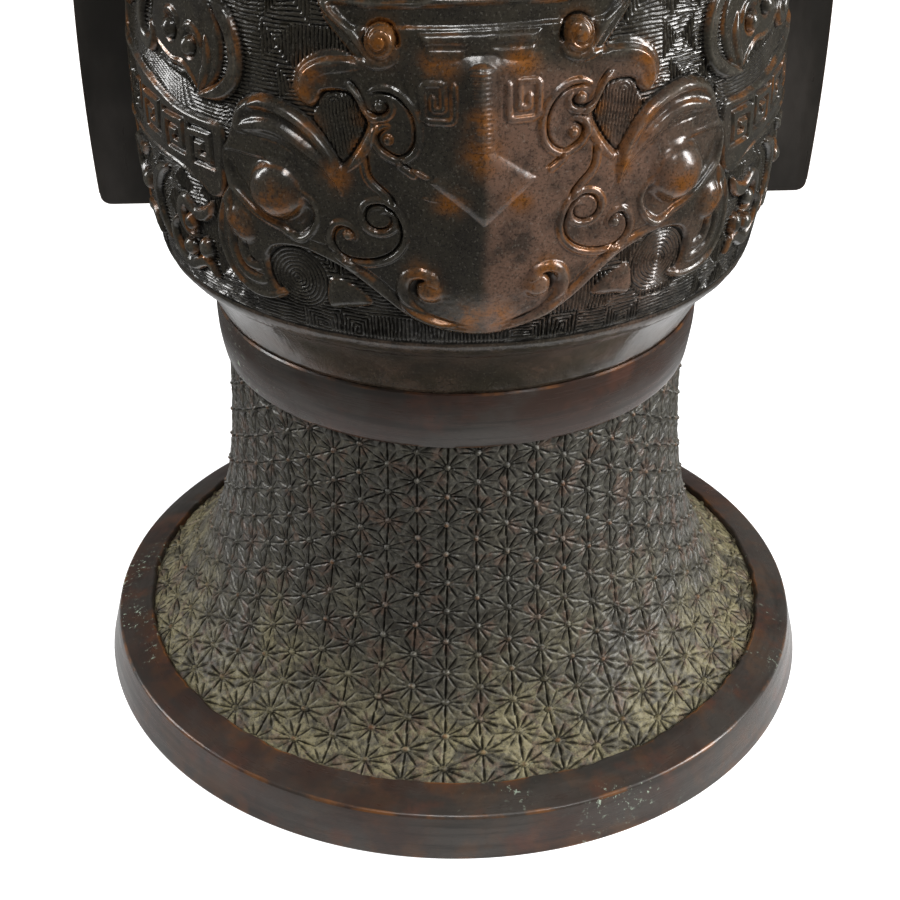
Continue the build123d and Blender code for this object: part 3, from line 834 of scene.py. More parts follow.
def star_relief(turn, along, sizes, seed):
    """Hemp-leaf stars with twelve cut rays and a stud; columns run up the wall."""
    columns = sizes.star_columns
    pitch = sizes.star_pitch / MM
    groove, bulge, stud = sizes.star_groove / MM, sizes.star_bulge / MM, sizes.stud_rise / MM
    dice = np.random.default_rng(seed)
    shake = dice.uniform(-0.03, 0.03, (columns, STAR_ROWS, 2))
    depths = dice.uniform(0.55, 1.2, (columns, STAR_ROWS, 12))
    tilts = dice.uniform(-1, 1, (columns, STAR_ROWS, 2))
    x = turn * columns / (2 * np.pi) - 0.23
    y = along / pitch + 0.57
    best = np.full(y.shape, np.inf)
    near = {name: np.zeros(y.shape) for name in ("x", "y")}
    cell = {name: np.zeros(y.shape, int) for name in ("column", "row")}
    for side in (-1, 0, 1):
        column = np.round(x).astype(int) + side
        offset = 0.5 * (column % 2)
        row = np.round(y - offset).astype(int)
        shift = shake[column % columns, row % STAR_ROWS]
        dx = (x - column) * math.sqrt(3) / 2 - shift[..., 0]
        dy = y - offset - row - shift[..., 1]
        reach = np.hypot(dx, dy)
        closer = reach < best
        best = np.where(closer, reach, best)
        near = {"x": np.where(closer, dx, near["x"]), "y": np.where(closer, dy, near["y"])}
        cell = {
            "column": np.where(closer, column % columns, cell["column"]),
            "row": np.where(closer, row % STAR_ROWS, cell["row"]),
        }
    angle = np.arctan2(near["y"], near["x"]) / (np.pi / 6)
    ray = np.round(angle).astype(int)
    off = best * pitch * np.sin((angle - ray) * np.pi / 6)
    strength = depths[cell["column"], cell["row"], ray % 12]
    reach = best * pitch
    long_ray = ray % 2 == 1
    way = np.clip(reach / np.where(long_ray, 4.3, 4.65), 0, 1)
    swell = np.sin(np.pi * way) ** 0.8
    upright = ray % 6 == 3
    strength = np.where(upright, 0.85 + 0.3 * strength, strength)
    half_width = 0.15 + np.where(upright, 0.12, 0.16) * swell * strength
    fade = np.where(long_ray, 1 - 0.45 * way**4, 1 - 0.85 * way**4)
    cut = np.exp(-((off / half_width) ** 2)) * (0.55 + 0.45 * swell) * strength * fade
    burr = np.exp(-(((np.abs(off) - half_width - 0.3) / 0.2) ** 2)) * strength * swell
    leaf = 1 - np.exp(-np.abs(off) / 0.55)
    away = step_up((reach - 0.3) / 0.8)
    height = bulge * (1 + np.cos(np.pi * np.clip(best / 0.58, 0, 1))) / 2
    height += (0.14 * leaf - 0.85 * groove * cut + 0.13 * burr) * away
    ball = np.sqrt(np.clip(1 - (reach / STUD_RADIUS) ** 2, 0, 1))
    height -= 0.15 * np.exp(-(((reach - STUD_RADIUS - 0.25) / 0.28) ** 2))
    height = np.where(reach < STUD_RADIUS, np.maximum(height, bulge - 0.15 + (stud + 0.15) * ball), height)
    tilt = tilts[cell["column"], cell["row"]]
    return height + 0.14 * tilt[..., 0] * near["x"] + 0.06 * tilt[..., 1]


# Meshes


def bezier(first, pull, last, count):
    """Points of a quadratic curve."""
    t = np.linspace(0, 1, count)[:, None]
    first, pull, last = (np.asarray(p, float) for p in (first, pull, last))
    return (1 - t) ** 2 * first + 2 * t * (1 - t) * pull + t**2 * last


def bowed(first, last, bulge, count):
    """Points of an arc whose middle stands out by the bulge, to the right of the way along it."""
    first, last = np.asarray(first, float), np.asarray(last, float)
    way = (last - first) / np.linalg.norm(last - first)
    out = np.array([way[1], -way[0]])
    half = np.linalg.norm(last - first) / 2
    t = np.linspace(-1, 1, count)
    radius = (half**2 + bulge**2) / (2 * abs(bulge))
    lift = math.copysign(1, bulge) * (np.sqrt(radius**2 - (t * half) ** 2) - radius + abs(bulge))
    return (first + last) / 2 + np.outer(t * half, way) + np.outer(lift, out)


def even_steps(points, step):
    """The same path with points a fixed step apart."""
    runs = np.hypot(*np.diff(points, axis=0).T)
    along = np.concatenate([[0], np.cumsum(runs)])
    places = np.linspace(0, along[-1], max(2, round(along[-1] / step)) + 1)
    return np.column_stack([np.interp(places, along, points[:, k]) for k in (0, 1)]), places


def normals_of(points):
    """Unit normals of a half section that runs upwards on its outside."""
    way = np.gradient(points, axis=0)
    way /= np.hypot(way[:, 0], way[:, 1])[:, None]
    return np.column_stack([way[:, 1], -way[:, 0]])


def rounded(corners, radii, steps=6):
    """Outline with its corners rounded; a corner with radius 0 stays sharp."""
    corners = [np.asarray(c, float) for c in corners]
    points = []
    neighbours = zip(corners[-1:] + corners[:-1], corners, corners[1:] + corners[:1], radii)
    for before, corner, after, radius in neighbours:
        if radius == 0:
            points.append(corner)
            continue
        back = (before - corner) / np.linalg.norm(before - corner)
        on = (after - corner) / np.linalg.norm(after - corner)
        half = math.acos(np.clip(np.dot(back, on), -1, 1)) / 2
        set_off = radius / math.tan(half)
        points.extend(bezier(corner + back * set_off, corner, corner + on * set_off, steps))
    return np.array(points)


def turns_of(columns):
    """Turn of each column of points."""
    return np.arange(columns) * 2 * np.pi / columns


def ring_mesh(name, radius, height, traits, strips, outer_rows, sharp):
    """Closed body of rings of points, each with a radius and a height for every column.

    Rows run up the outside and down the inside. The first outer_rows get most of the bake map, in strips.
    """
    rows, columns = radius.shape
    turn = turns_of(columns)
    points = np.stack([radius * np.sin(turn), -radius * np.cos(turn), height], axis=-1) * MM
    row, column = (grid.ravel() for grid in np.meshgrid(np.arange(rows), np.arange(columns), indexing="ij"))
    above, beyond = (row + 1) % rows, (column + 1) % columns
    corners = ((row, column), (row, beyond), (above, beyond), (above, column))
    quads = np.stack([ring * columns + place for ring, place in corners], axis=-1)
    mesh = bpy.data.meshes.new(name)
    mesh.vertices.add(rows * columns)
    mesh.vertices.foreach_set("co", points.astype(np.float32).ravel())
    mesh.loops.add(quads.size)
    mesh.loops.foreach_set("vertex_index", quads.astype(np.int32).ravel())
    mesh.polygons.add(len(quads))
    mesh.polygons.foreach_set("loop_start", np.arange(0, quads.size, 4, dtype=np.int32))
    mesh.update(calc_edges=True)
    mesh.validate()
    mesh.shade_smooth()
    mesh.set_sharp_from_angle(angle=math.radians(sharp))
    for trait, values in traits.items():
        layer = mesh.attributes.new(trait, "FLOAT", "POINT")
        layer.data.foreach_set("value", values.astype(np.float32).ravel())
    places = bake_places(row, column, rows, columns, strips, outer_rows)
    mesh.uv_layers.new(name=BAKE_MAP)
    mesh.uv_layers[BAKE_MAP].data.foreach_set("uv", places)
    return mesh


def bake_places(row, column, rows, columns, strips, outer):
    """Places on the bake map of the four corners of each face."""
    share = 0.86
    margin = 0.004
    per_strip = columns // strips
    strip = np.minimum(column // per_strip, strips - 1)
    width = np.where(strip == strips - 1, columns - per_strip * (strips - 1), per_strip)
    on_outside = row < outer - 1
    corners = []
    for step_over, step_on in ((0, 0), (1, 0), (1, 1), (0, 1)):
        across_outer = (column - strip * per_strip + step_over) / width
        rise = (row + step_on) / max(outer - 1, 1)
        up_outer = share * (strip + margin + (1 - 2 * margin) * rise) / strips
        across_inner = (column + step_over) / columns
        rise = (row - outer + 1 + step_on) / (rows - outer + 1)
        up_inner = share + margin + (1 - share - 2 * margin) * rise
        u = np.where(on_outside, across_outer, across_inner)
        v = np.where(on_outside, up_outer, up_inner)
        corners.append(np.stack([margin + (1 - 2 * margin) * u, v], axis=-1))
    return np.stack(corners, axis=1).astype(np.float32).ravel()


def add_piece(mesh, material, slot, *nodes):
    """Object for a mesh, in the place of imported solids."""
    piece = bpy.data.objects.new(mesh.name, mesh)
    bpy.context.scene.collection.objects.link(piece)
    mesh.materials.append(material)
    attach(piece, BODY)
    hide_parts(*nodes)


def hollows_and_highs(height, row_step, column_step, reach):
    """How far each point lies below and above its surroundings, in millimetres."""
    rows = max(1, round(reach / row_step))
    columns = max(1, round(reach / column_step))
    mean = blurred(blurred(height, rows, columns), rows, columns)
    return np.clip(mean - height, 0, None), np.clip(height - mean, 0, None)


# Finishes


class Nodes:
    """Short ways to add shader nodes to one tree."""

    def __init__(self, tree):
        self.tree = tree
        self.tree.nodes.clear()
        self.place = None

    def add(self, kind, **settings):
        """A new node with some settings."""
        node = self.tree.nodes.new(kind)
        for name, value in settings.items():
            setattr(node, name, value)
        return node

    def feed(self, socket, value):
        """Links a socket, or sets its value."""
        if isinstance(value, bpy.types.NodeSocket):
            self.tree.links.new(value, socket)
        elif isinstance(value, (tuple, list)) and len(value) == 3 and socket.type == "RGBA":
            socket.default_value = (*value, 1)
        else:
            socket.default_value = value

    def coordinates(self, stretch=(1, 1, 1)):
        """Places on the object, stretched if asked."""
        if self.place is None:
            self.place = self.add("ShaderNodeTexCoord").outputs["Object"]
        if stretch == (1, 1, 1):
            return self.place
        mapping = self.add("ShaderNodeMapping")
        self.feed(mapping.inputs["Vector"], self.place)
        mapping.inputs["Scale"].default_value = stretch
        return mapping.outputs["Vector"]

    def noise(self, size, detail=3.0, roughness=0.55, stretch=(1, 1, 1)):
        """Noise with blobs of the given size in millimetres."""
        node = self.add("ShaderNodeTexNoise")
        self.feed(node.inputs["Vector"], self.coordinates(stretch))
        node.inputs["Scale"].default_value = 1 / (size * MM)
        node.inputs["Detail"].default_value = detail
        node.inputs["Roughness"].default_value = roughness
        return node.outputs["Fac"]

    def trait(self, name):
        """A value stored on the mesh."""
        return self.add("ShaderNodeAttribute", attribute_name=name).outputs["Fac"]

    def scaled(self, value, low, high, to_low=0.0, to_high=1.0):
        """Maps a range to another one, smoothly and within its ends."""
        node = self.add("ShaderNodeMapRange", interpolation_type="SMOOTHSTEP")
        self.feed(node.inputs["Value"], value)
        for name, number in (("From Min", low), ("From Max", high), ("To Min", to_low), ("To Max", to_high)):
            node.inputs[name].default_value = number
        return node.outputs["Result"]

    def combine(self, operation, first, second):
        """Arithmetic with two values."""
        node = self.add("ShaderNodeMath", operation=operation)
        self.feed(node.inputs[0], first)
        self.feed(node.inputs[1], second)
        return node.outputs[0]

    def plus(self, first, second):
        """Sum of two values."""
        return self.combine("ADD", first, second)

    def times(self, first, second):
        """Product of two values."""
        return self.combine("MULTIPLY", first, second)

    def larger(self, first, second):
        """The larger of two values."""
        return self.combine("MAXIMUM", first, second)

    def blend(self, share, first, second):
        """Mixes two colours; sockets 6, 7 and 2 are the ones for colours."""
        node = self.add("ShaderNodeMix", data_type="RGBA")
        self.feed(node.inputs["Factor"], share)
        self.feed(node.inputs[6], first)
        self.feed(node.inputs[7], second)
        return node.outputs[2]

    def layer(self, base, tone, value, low, high, most=1.0):
        """Lays a tone over the base where a value is high."""
        return self.blend(self.scaled(value, low, high, 0.0, most), base, tone)

    def bump(self, height, depth, strength, under=None):
        """Normals of fine heights, over other normals if asked; the depth is in millimetres."""
        node = self.add("ShaderNodeBump")
        node.inputs["Strength"].default_value = strength
        node.inputs["Distance"].default_value = depth * MM
        self.feed(node.inputs["Height"], height)
        if under is not None:
            self.feed(node.inputs["Normal"], under)
        return node.outputs["Normal"]

    def metal(self, base, roughness, metallic, normal, shine):
        """Main shader and output."""
        shader = self.add("ShaderNodeBsdfPrincipled")
        self.feed(shader.inputs["Base Color"], base)
        self.feed(shader.inputs["Roughness"], roughness)
        self.feed(shader.inputs["Metallic"], metallic)
        self.feed(shader.inputs["Normal"], normal)
        shader.inputs["Specular IOR Level"].default_value = shine
        output = self.add("ShaderNodeOutputMaterial")
        self.feed(output.inputs["Surface"], shader.outputs["BSDF"])


def new_finish(name):
    """An empty material and its nodes."""
    material = bpy.data.materials.new(name)
    material.use_nodes = True
    return material, Nodes(material.node_tree)


def finish(name, maker):
    """The finish of that name, made when first asked for."""
    group = bpy.context.scene.gu_colours
    tones = {tone: tuple(getattr(group, tone)) for tone in GuColours.__annotations__}
    return bpy.data.materials.get(name) or maker(name, tones)


def mask_finish(name, tones):
    """Dark patina with painted light that makes the right cheek redder and lighter, stains, dirt in the
    hollows with painted shade low on the belly, pale specks that are partly dust and partly painted glints, a
    painted sheen on the ridges, and rubbed places.
    """
    material, n = new_finish(name)
    hollow, high, ruddy = n.trait("hollow"), n.trait("high"), n.trait("ruddy")
    clouds = n.noise(22, 5, 0.6)
    # Painted light: the trait makes the right cheek redder and lighter and the left half darker; it also
    # holds the cove's redder patina, and the clouds add random tone.
    warmth_and_painted_light = n.plus(ruddy, n.scaled(clouds, 0.3, 0.7, -0.2, 0.2))
    base = n.layer(tones["chocolate"], tones["umber"], warmth_and_painted_light, 0.1, 0.95)
    base = n.layer(base, tones["soot"], n.noise(7, 6, 0.68), 0.43, 0.68, 0.75)
    uneven = n.scaled(n.noise(3, 4), 0.35, 0.7, -0.05, 0.05)
    # On the belly the hollow trait also carries painted shade low on the barrel.
    dirt = n.scaled(n.plus(hollow, uneven), 0.03, 0.24, 0.0, 0.92)
    base = n.blend(dirt, base, tones["recess"])
    patchy = n.scaled(n.noise(9, 5), 0.44, 0.66, 0.0, 0.55)
    wear = n.times(n.trait("steep"), patchy)
    # Painted sheen: a pale grey-green tone laid on the raised ridges.
    sheen = n.times(n.scaled(high, 0.1, 0.8, 0.0, 0.26), n.scaled(n.noise(5, 4), 0.35, 0.65))
    base = n.blend(sheen, base, tones["dust"])
    handled = n.times(n.trait("rubbed"), n.scaled(n.noise(3.5, 5, 0.65), 0.36, 0.6, 0.15, 0.85))
    wear = n.larger(wear, n.times(handled, n.scaled(hollow, 0.05, 0.2, 1.0, 0.1)))
    base = n.blend(wear, base, tones["rubbed"])
    grain = n.noise(0.6, 4, 0.7)
    base = n.layer(base, tones["recess"], grain, 0.5, 0.62, 0.55)
    # Pale specks, partly dust and partly painted glints.
    base = n.layer(base, tones["dust"], n.noise(0.55, 3, 0.6, (1.1, 0.9, 1)), 0.58, 0.7, 0.32)
    rough = n.plus(n.scaled(clouds, 0.3, 0.7, 0.15, 0.26), n.scaled(dirt, 0, 1, 0, 0.3))
    normal = n.bump(grain, 0.045, 0.5)
    normal = n.bump(n.noise(4, 3), 0.12, 0.35, normal)
    metallic = n.larger(n.scaled(wear, 0, 1, 0.1, 0.5), n.scaled(dirt, 0.2, 1, 0, 0.8))
    n.metal(base, rough, metallic, normal, 0.42)
    return material


def star_finish(name, tones):
    """Slate near the waist and olive on the flare, mottled, with ochre, dark cuts and rubbed studs."""
    material, n = new_finish(name)
    hollow, high, flare = n.trait("hollow"), n.trait("high"), n.trait("flare")
    clouds = n.noise(24, 5, 0.6)
    spread = n.plus(flare, n.scaled(clouds, 0.3, 0.7, -0.28, 0.28))
    base = n.layer(tones["slate"], tones["olive"], spread, 0.1, 0.8)
    base = n.layer(base, tones["chocolate"], n.noise(6, 5, 0.65), 0.46, 0.6, 0.75)
    base = n.layer(base, tones["slate"], n.noise(9, 4, 0.6, (1, 1, 1.4)), 0.5, 0.68, 0.55)
    base = n.layer(base, tones["umber"], n.noise(5.5, 4, 0.65, (1.2, 0.9, 1)), 0.53, 0.62, 0.6)
    mottle = n.noise(1.3, 5, 0.75)
    base = n.layer(base, tones["soot"], mottle, 0.44, 0.6, 0.65)
    base = n.layer(base, tones["dust"], mottle, 0.48, 0.36, 0.3)
    uneven = n.scaled(n.noise(2.5, 4, 0.65), 0.3, 0.7, -0.08, 0.08)
    dirt = n.scaled(n.plus(hollow, uneven), 0.03, 0.24, 0.0, 0.75)
    base = n.blend(dirt, base, tones["recess"])
    wear = n.times(n.scaled(high, 0.16, 0.5), n.scaled(n.noise(9, 4), 0.48, 0.66, 0.0, 0.3))
    base = n.blend(wear, base, tones["rubbed"])
    base = n.layer(base, tones["verdigris"], n.noise(1.7, 4, 0.7), 0.69, 0.76, 0.5)
    rough = n.plus(n.scaled(spread, 0.1, 0.8, 0.36, 0.56), n.scaled(dirt, 0, 1, 0, 0.25))
    normal = n.bump(mottle, 0.11, 1.0)
    n.metal(base, rough, n.scaled(dirt, 0.15, 0.85, 0.08, 0.75), normal, 0.34)
    return material


def plain_finish(name, tones):
    """Smooth red-brown patina with polishing streaks, worn edges and verdigris specks."""
    material, n = new_finish(name)
    clouds = n.noise(30, 5, 0.6)
    base = n.layer(tones["plum"], tones["smoke"], clouds, 0.4, 0.62)
    streaks = n.noise(5, 5, 0.65, (0.1, 0.1, 2.4))
    base = n.layer(base, tones["soot"], streaks, 0.45, 0.68, 0.7)
    base = n.layer(base, tones["rust"], n.noise(13, 5, 0.65), 0.5, 0.7, 0.75)
    grain = n.noise(1.2, 5, 0.7)
    base = n.layer(base, tones["soot"], grain, 0.52, 0.72, 0.5)
    patchy = n.scaled(n.noise(9, 5, 0.6), 0.45, 0.65, 0.0, 0.45)
    worn = n.times(n.scaled(n.trait("high"), 0.45, 1.0), patchy)
    base = n.blend(worn, base, tones["rubbed"])
    cluster = n.scaled(n.noise(38, 3), 0.55, 0.66)
    specks = n.times(n.scaled(n.noise(1.5, 5, 0.7), 0.58, 0.66), cluster)
    base = n.blend(specks, base, tones["verdigris"])
    rough = n.plus(n.scaled(streaks, 0.3, 0.7, 0.22, 0.36), n.scaled(specks, 0, 1, 0, 0.3))
    normal = n.bump(streaks, 0.035, 0.45)
    normal = n.bump(grain, 0.03, 0.4, normal)
    normal = n.bump(n.noise(7, 3), 0.14, 0.3, normal)
    n.metal(base, rough, 0.1, normal, 0.4)
    return material


def flange_finish(name, tones):
    """Near-black smooth plates, warmer on their rounded edges."""
    material, n = new_finish(name)
    clouds = n.noise(28, 5, 0.6, (1, 1, 0.5))
    base = n.layer(tones["soot"], tones["smoke"], clouds, 0.4, 0.7)
    geometry = n.add("ShaderNodeNewGeometry")
    base = n.layer(base, tones["rubbed"], geometry.outputs["Pointiness"], 0.515, 0.56, 0.6)
    scratches = n.noise(3, 5, 0.7, (0.5, 0.5, 0.06))
    rough = n.scaled(scratches, 0.3, 0.7, 0.26, 0.4)
    normal = n.bump(scratches, 0.02, 0.3)
    normal = n.bump(n.noise(8, 3), 0.12, 0.25, normal)
    n.metal(base, rough, 0.1, normal, 0.45)
    return material


def inner_finish(name, tones):
    """Dull unpolished casting."""
    material, n = new_finish(name)
    clouds = n.noise(12, 5)
    base = n.layer(tones["casting"], tones["recess"], clouds, 0.35, 0.65)
    normal = n.bump(n.noise(1.5, 4, 0.7), 0.15, 0.6)
    n.metal(base, n.scaled(clouds, 0.3, 0.7, 0.55, 0.7), 0.2, normal, 0.12)
    return material


# Pieces

# Half sections are radii and heights in millimetres
FOOT_FLARE = ((87.75, 13.0), (60.5, 26.88), (60.5, 90.0))
NECK_FLARE = ((60.5, 250.3), (60.5, 350.7), (103.85, 402.4))
FLARE_POINTS = 200
FLARE_WIDTH = 26.0
WAIST = FOOT_FLARE[2][0]
WALL = 4.0
STAR_SINK = 0.35
BARREL_HALF = 37.5
BARREL_LOW, BARREL_HIGH = BELLY_MIDDLE - BARREL_HALF, BELLY_MIDDLE + BARREL_HALF
BARREL_RADIUS = 77.8
BELLY_EDGE = 74.8
BARREL_SWELL = BARREL_RADIUS - BELLY_EDGE
COVE_TOP = 14.3
COVE_RADIUS = BELLY_EDGE - 4.3
SEAT_RADIUS = 62.0
SPIGOT_INSIDE, SPIGOT_OUTSIDE = 54.5, 58.5
LINING_EDGE = 69.8

# Mesh columns per star, or round the piece, and steps along the wall in millimetres.
FOOT_COLUMNS, FOOT_STEP = 16, 0.6
NECK_COLUMNS, NECK_STEP = 13, 0.8
BELLY_COLUMNS, BELLY_STEP = 1000, 0.44
RING_COLUMNS = 900
COLLAR_COLUMNS = 720


def fineness():
    return 2


def shell_mesh(name, wall, rise, inner, traits, strips):
    """Closed shell with relief on its outer wall and a plain lining; the traits belong to the outer wall."""
    columns = rise.shape[1]
    out = normals_of(wall)
    radius, level = (
        np.vstack([wall[:, k:k + 1] + out[:, k:k + 1] * rise, np.repeat(inner[:, k:k + 1], columns, axis=1)])
        for k in (0, 1)
    )
    blank = np.zeros((len(inner), columns))
    traits = {trait: np.vstack([values, blank]) for trait, values in traits.items()}
    return ring_mesh(name, radius, level, traits, strips, len(wall), sharp=75.0)


def star_wall(name, section, node, columns, step, seed):
    """Flared shell with star relief on its outside; the section runs upwards."""
    wall, along = even_steps(section, step)
    along = np.broadcast_to(along[:, None], (len(wall), columns))
    turn = np.broadcast_to(turns_of(columns), along.shape)
    height = star_relief(turn, along, bpy.context.scene.gu_relief, seed)
    girth = 2 * np.pi * WAIST
    for number, (rise, size) in enumerate(((0.12, 11.0), (0.05, 2.5), (0.035, 0.9)), 1):
        height = height + rise * soft_noise(turn * WAIST, along, size, seed + number, girth)
    inner = even_steps(section - WALL * normals_of(section), 4.0)[0][::-1]
    hollow, high = hollows_and_highs(height, step, girth / columns, 1.1)
    flare = np.broadcast_to((wall[:, :1] - WAIST) / FLARE_WIDTH, height.shape)
    traits = {"hollow": hollow, "high": high, "flare": flare}
    mesh = shell_mesh(name, wall, height - STAR_SINK, inner, traits, 3)
    add_piece(mesh, finish("star sheet bronze", star_finish), "star_bronze", node)


class GuFoot(bpy.types.Operator):
    """Flared foot with hemp-leaf stars"""

    bl_idname = "gu.foot"
    bl_label = "Foot"

    def execute(self, context):
        start = (FOOT_FLARE[0][0] + 0.02, FOOT_FLARE[0][1] - 3.0)
        section = np.vstack([[start], bezier(*FOOT_FLARE, FLARE_POINTS), [(WAIST, COLLAR_SEAT)]])
        columns = context.scene.gu_relief.star_columns * FOOT_COLUMNS * fineness()
        star_wall("foot", section, "foot_shell", columns, FOOT_STEP / fineness(), 31)
        return {"FINISHED"}


class GuNeck(bpy.types.Operator):
    """Trumpet neck with the same stars"""

    bl_idname = "gu.neck"
    bl_label = "Neck"

    def execute(self, context):
        section = np.vstack([[(WAIST, NECK_SEAT)], bezier(*NECK_FLARE, FLARE_POINTS)])
        columns = context.scene.gu_relief.star_columns * NECK_COLUMNS * fineness()
        star_wall("neck", section, "neck_trumpet", columns, NECK_STEP / fineness(), 37)
        return {"FINISHED"}


def belly_wall(step):
    """Half section of the belly's outside, upwards, and how far along it each point lies from the middle."""
    cove_end = (COVE_RADIUS, BELLY_SEAT + COVE_TOP)
    low, high = (BELLY_EDGE, BARREL_LOW), (BELLY_EDGE, BARREL_HIGH)
    cove = bowed((SEAT_RADIUS, BELLY_SEAT), cove_end, -0.6, 14)
    edge = bowed(cove_end, low, 0.9, 26)
    barrel = bowed(low, high, BARREL_SWELL, round(2 * BARREL_HALF / step))
    flip = np.array([0, 2 * BELLY_MIDDLE])
    upper_edge, upper_cove = (flip + part[::-1] * (1, -1) for part in (edge, cove))
    wall = np.vstack([cove[:-1], edge[:-1], barrel, upper_edge[1:], upper_cove[1:]])
    runs = np.hypot(*np.diff(wall, axis=0).T)
    along = np.concatenate([[0], np.cumsum(runs)])
    first = along[wall[:, 1] >= BARREL_LOW - 1e-6][0]
    last = along[wall[:, 1] <= BARREL_HIGH + 1e-6][-1]
    up = np.clip(wall[:, 1] - BELLY_MIDDLE, -BARREL_HALF, BARREL_HALF)
    return wall, up - np.clip(first - along, 0, None) + np.clip(along - last, 0, None)


def belly_lining():
    """Half section of the belly's inside, downwards, with a spigot at each end."""
    barrel = bowed((LINING_EDGE, BARREL_HIGH), (LINING_EDGE, BARREL_LOW), -3.0, 14)
    radii = (SPIGOT_OUTSIDE, SPIGOT_OUTSIDE, SPIGOT_INSIDE, SPIGOT_INSIDE)
    upper = np.column_stack([radii, (BELLY_TOP, BELLY_TOP + 7.1, BELLY_TOP + 7.1, BELLY_TOP)])
    lower = np.column_stack([radii[::-1], (BELLY_SEAT, BELLY_SEAT - 3.3, BELLY_SEAT - 3.3, BELLY_SEAT)])
    return np.vstack([upper, barrel, lower])


def belly_traits(turn, up, relief, row_step, column_step):
    """Dirt, wear and redder tone over the belly, from its relief and from the places on the mask; with
    painted light that makes the right cheek of each mask lighter and redder, painted shade on its left half,
    and painted shade low on the barrel.
    """
    height, rubbed, smooth = relief
    hollow = hollows_and_highs(height, row_step, column_step, 0.75)[0] * (1 - 0.55 * smooth)
    # Painted shade: a darker band low on the barrel, carried in the hollow trait.
    painted_low_shade = 0.12 * step_up((-29 - up) / 4) * step_up((up + LEDGE) / 1.5) * (1 - 0.6 * smooth)
    detail = height - blurred(height, round(1.8 / row_step), round(1.8 / column_step))
    slopes = np.gradient(detail, row_step, axis=0), np.gradient(detail, column_step, axis=1)
    across = mask_across(turn, BARREL_RADIUS)
    on_face = step_up((30 - up) / 12) * step_up((up + 40) / 8)
    # Painted light and shade: the right cheek of each mask is made lighter and redder and its left half
    # darker, as if lit from the right.
    cheek = step_up((across + 2.0) / 5) * step_up((66 - across) / 40)
    shade = step_up((2.0 - across) / 5) * step_up((46 + across) / 24)
    cove = step_up((np.abs(up) - BARREL_HALF) / 1.0)
    painted_side_light = (0.85 * cheek * (0.65 + 0.35 * smooth) - 0.05 * shade) * on_face
    return {
        "hollow": hollow + painted_low_shade,
        "high": hollows_and_highs(height, row_step, column_step, 1.6)[1],
        "ruddy": 0.02 + 0.36 * cove + painted_side_light,
        "rubbed": rubbed,
        "steep": step_up((np.hypot(*slopes) - 0.25) / 0.5) * smooth,
    }


class GuBelly(bpy.types.Operator):
    """Barrel belly with the beast mask on a thunder ground"""

    bl_idname = "gu.belly"
    bl_label = "Belly"

    def execute(self, context):
        columns = BELLY_COLUMNS * fineness()
        step = BELLY_STEP / fineness()
        girth = 2 * np.pi * BARREL_RADIUS
        wall, up = belly_wall(step)
        up = np.broadcast_to(up[:, None], (len(wall), columns))
        turn = np.broadcast_to(turns_of(columns), up.shape)
        relief = mask_relief(turn, up, context.scene.gu_relief, girth)
        traits = belly_traits(turn, up, relief, step, girth / columns)
        mesh = shell_mesh("belly", wall, relief[0], belly_lining(), traits, 2)
        add_piece(mesh, finish("mask patina bronze", mask_finish), "mask_bronze", "belly_shell")
        return {"FINISHED"}


RING_RADIUS = 90.0


def turned_ring(name, outline, columns, node, ragged=None):
    """Plain ring from a closed half section, slightly uneven as if finished by hand."""
    radius = np.repeat(outline[:, :1], columns, axis=1)
    level = np.repeat(outline[:, 1:], columns, axis=1)
    place = np.broadcast_to(turns_of(columns) * RING_RADIUS, radius.shape)
    girth = 2 * np.pi * RING_RADIUS
    row = np.broadcast_to(np.arange(len(outline))[:, None] * 2.0, radius.shape)
    free = np.broadcast_to((outline[:, 1:] > 0.5), radius.shape)
    radius = radius + 0.07 * free * soft_noise(place, row, 16.0, 41, girth)
    level = level + 0.05 * free * soft_noise(place, row, 12.0, 42, girth)
    if ragged is not None:
        amount = np.asarray(ragged)[:, None]
        wear = soft_noise(place, row * 0, 6.0, 43, girth) + 0.7 * soft_noise(place, row * 0, 2.1, 44, girth)
        radius = radius + amount * wear
        level = level + 0.3 * np.abs(amount) * soft_noise(place, row * 0, 3.0, 45, girth)
    way = np.roll(outline, -1, axis=0) - outline
    back = outline - np.roll(outline, 1, axis=0)
    cross = back[:, 0] * way[:, 1] - back[:, 1] * way[:, 0]
    bend = cross / np.maximum(np.hypot(*back.T) * np.hypot(*way.T), 1e-6)
    edge = np.repeat(np.clip(bend[:, None] * 6, 0, 1), columns, axis=1)
    mesh = ring_mesh(name, radius, level, {"high": edge}, 2, len(outline) - 4, sharp=40.0)
    add_piece(mesh, finish("plain band bronze", plain_finish), "plain_bronze", node)


class GuRings(bpy.types.Operator):
    """Base ring and lip ring"""

    bl_idname = "gu.rings"
    bl_label = "Base and lip rings"

    def execute(self, context):
        outer = BASE_RADIUS + 0.45
        corners = [(80, 0), (outer, 0), (outer - 2.9, 11.6), (87.9, 14.4), (86.9, 12.2), (86.6, 8), (80, 8)]
        outline = rounded(corners, [0.6, 0.6, 1.3, 0.7, 0, 0.3, 0.6])
        ragged = np.where((np.abs(outline[:, 0] - 87.3) < 1.2) & (outline[:, 1] > 11), 0.3, 0.0)
        turned_ring("base_ring", outline, RING_COLUMNS, "base_rim", ragged)
        rim = LIP_RADIUS + 0.4
        top = TOTAL_HEIGHT
        corners = [
            (104, top - 8.6), (rim - 1.6, top - 7), (rim, top),
            (99.5, top), (99.5, top - 4.6), (103, top - 4.6),
        ]
        outline = rounded(corners, [0.5, 1.5, 1.6, 1.2, 0.4, 0.3])
        turned_ring("lip_ring", outline, RING_COLUMNS, "mouth_rim")
        return {"FINISHED"}


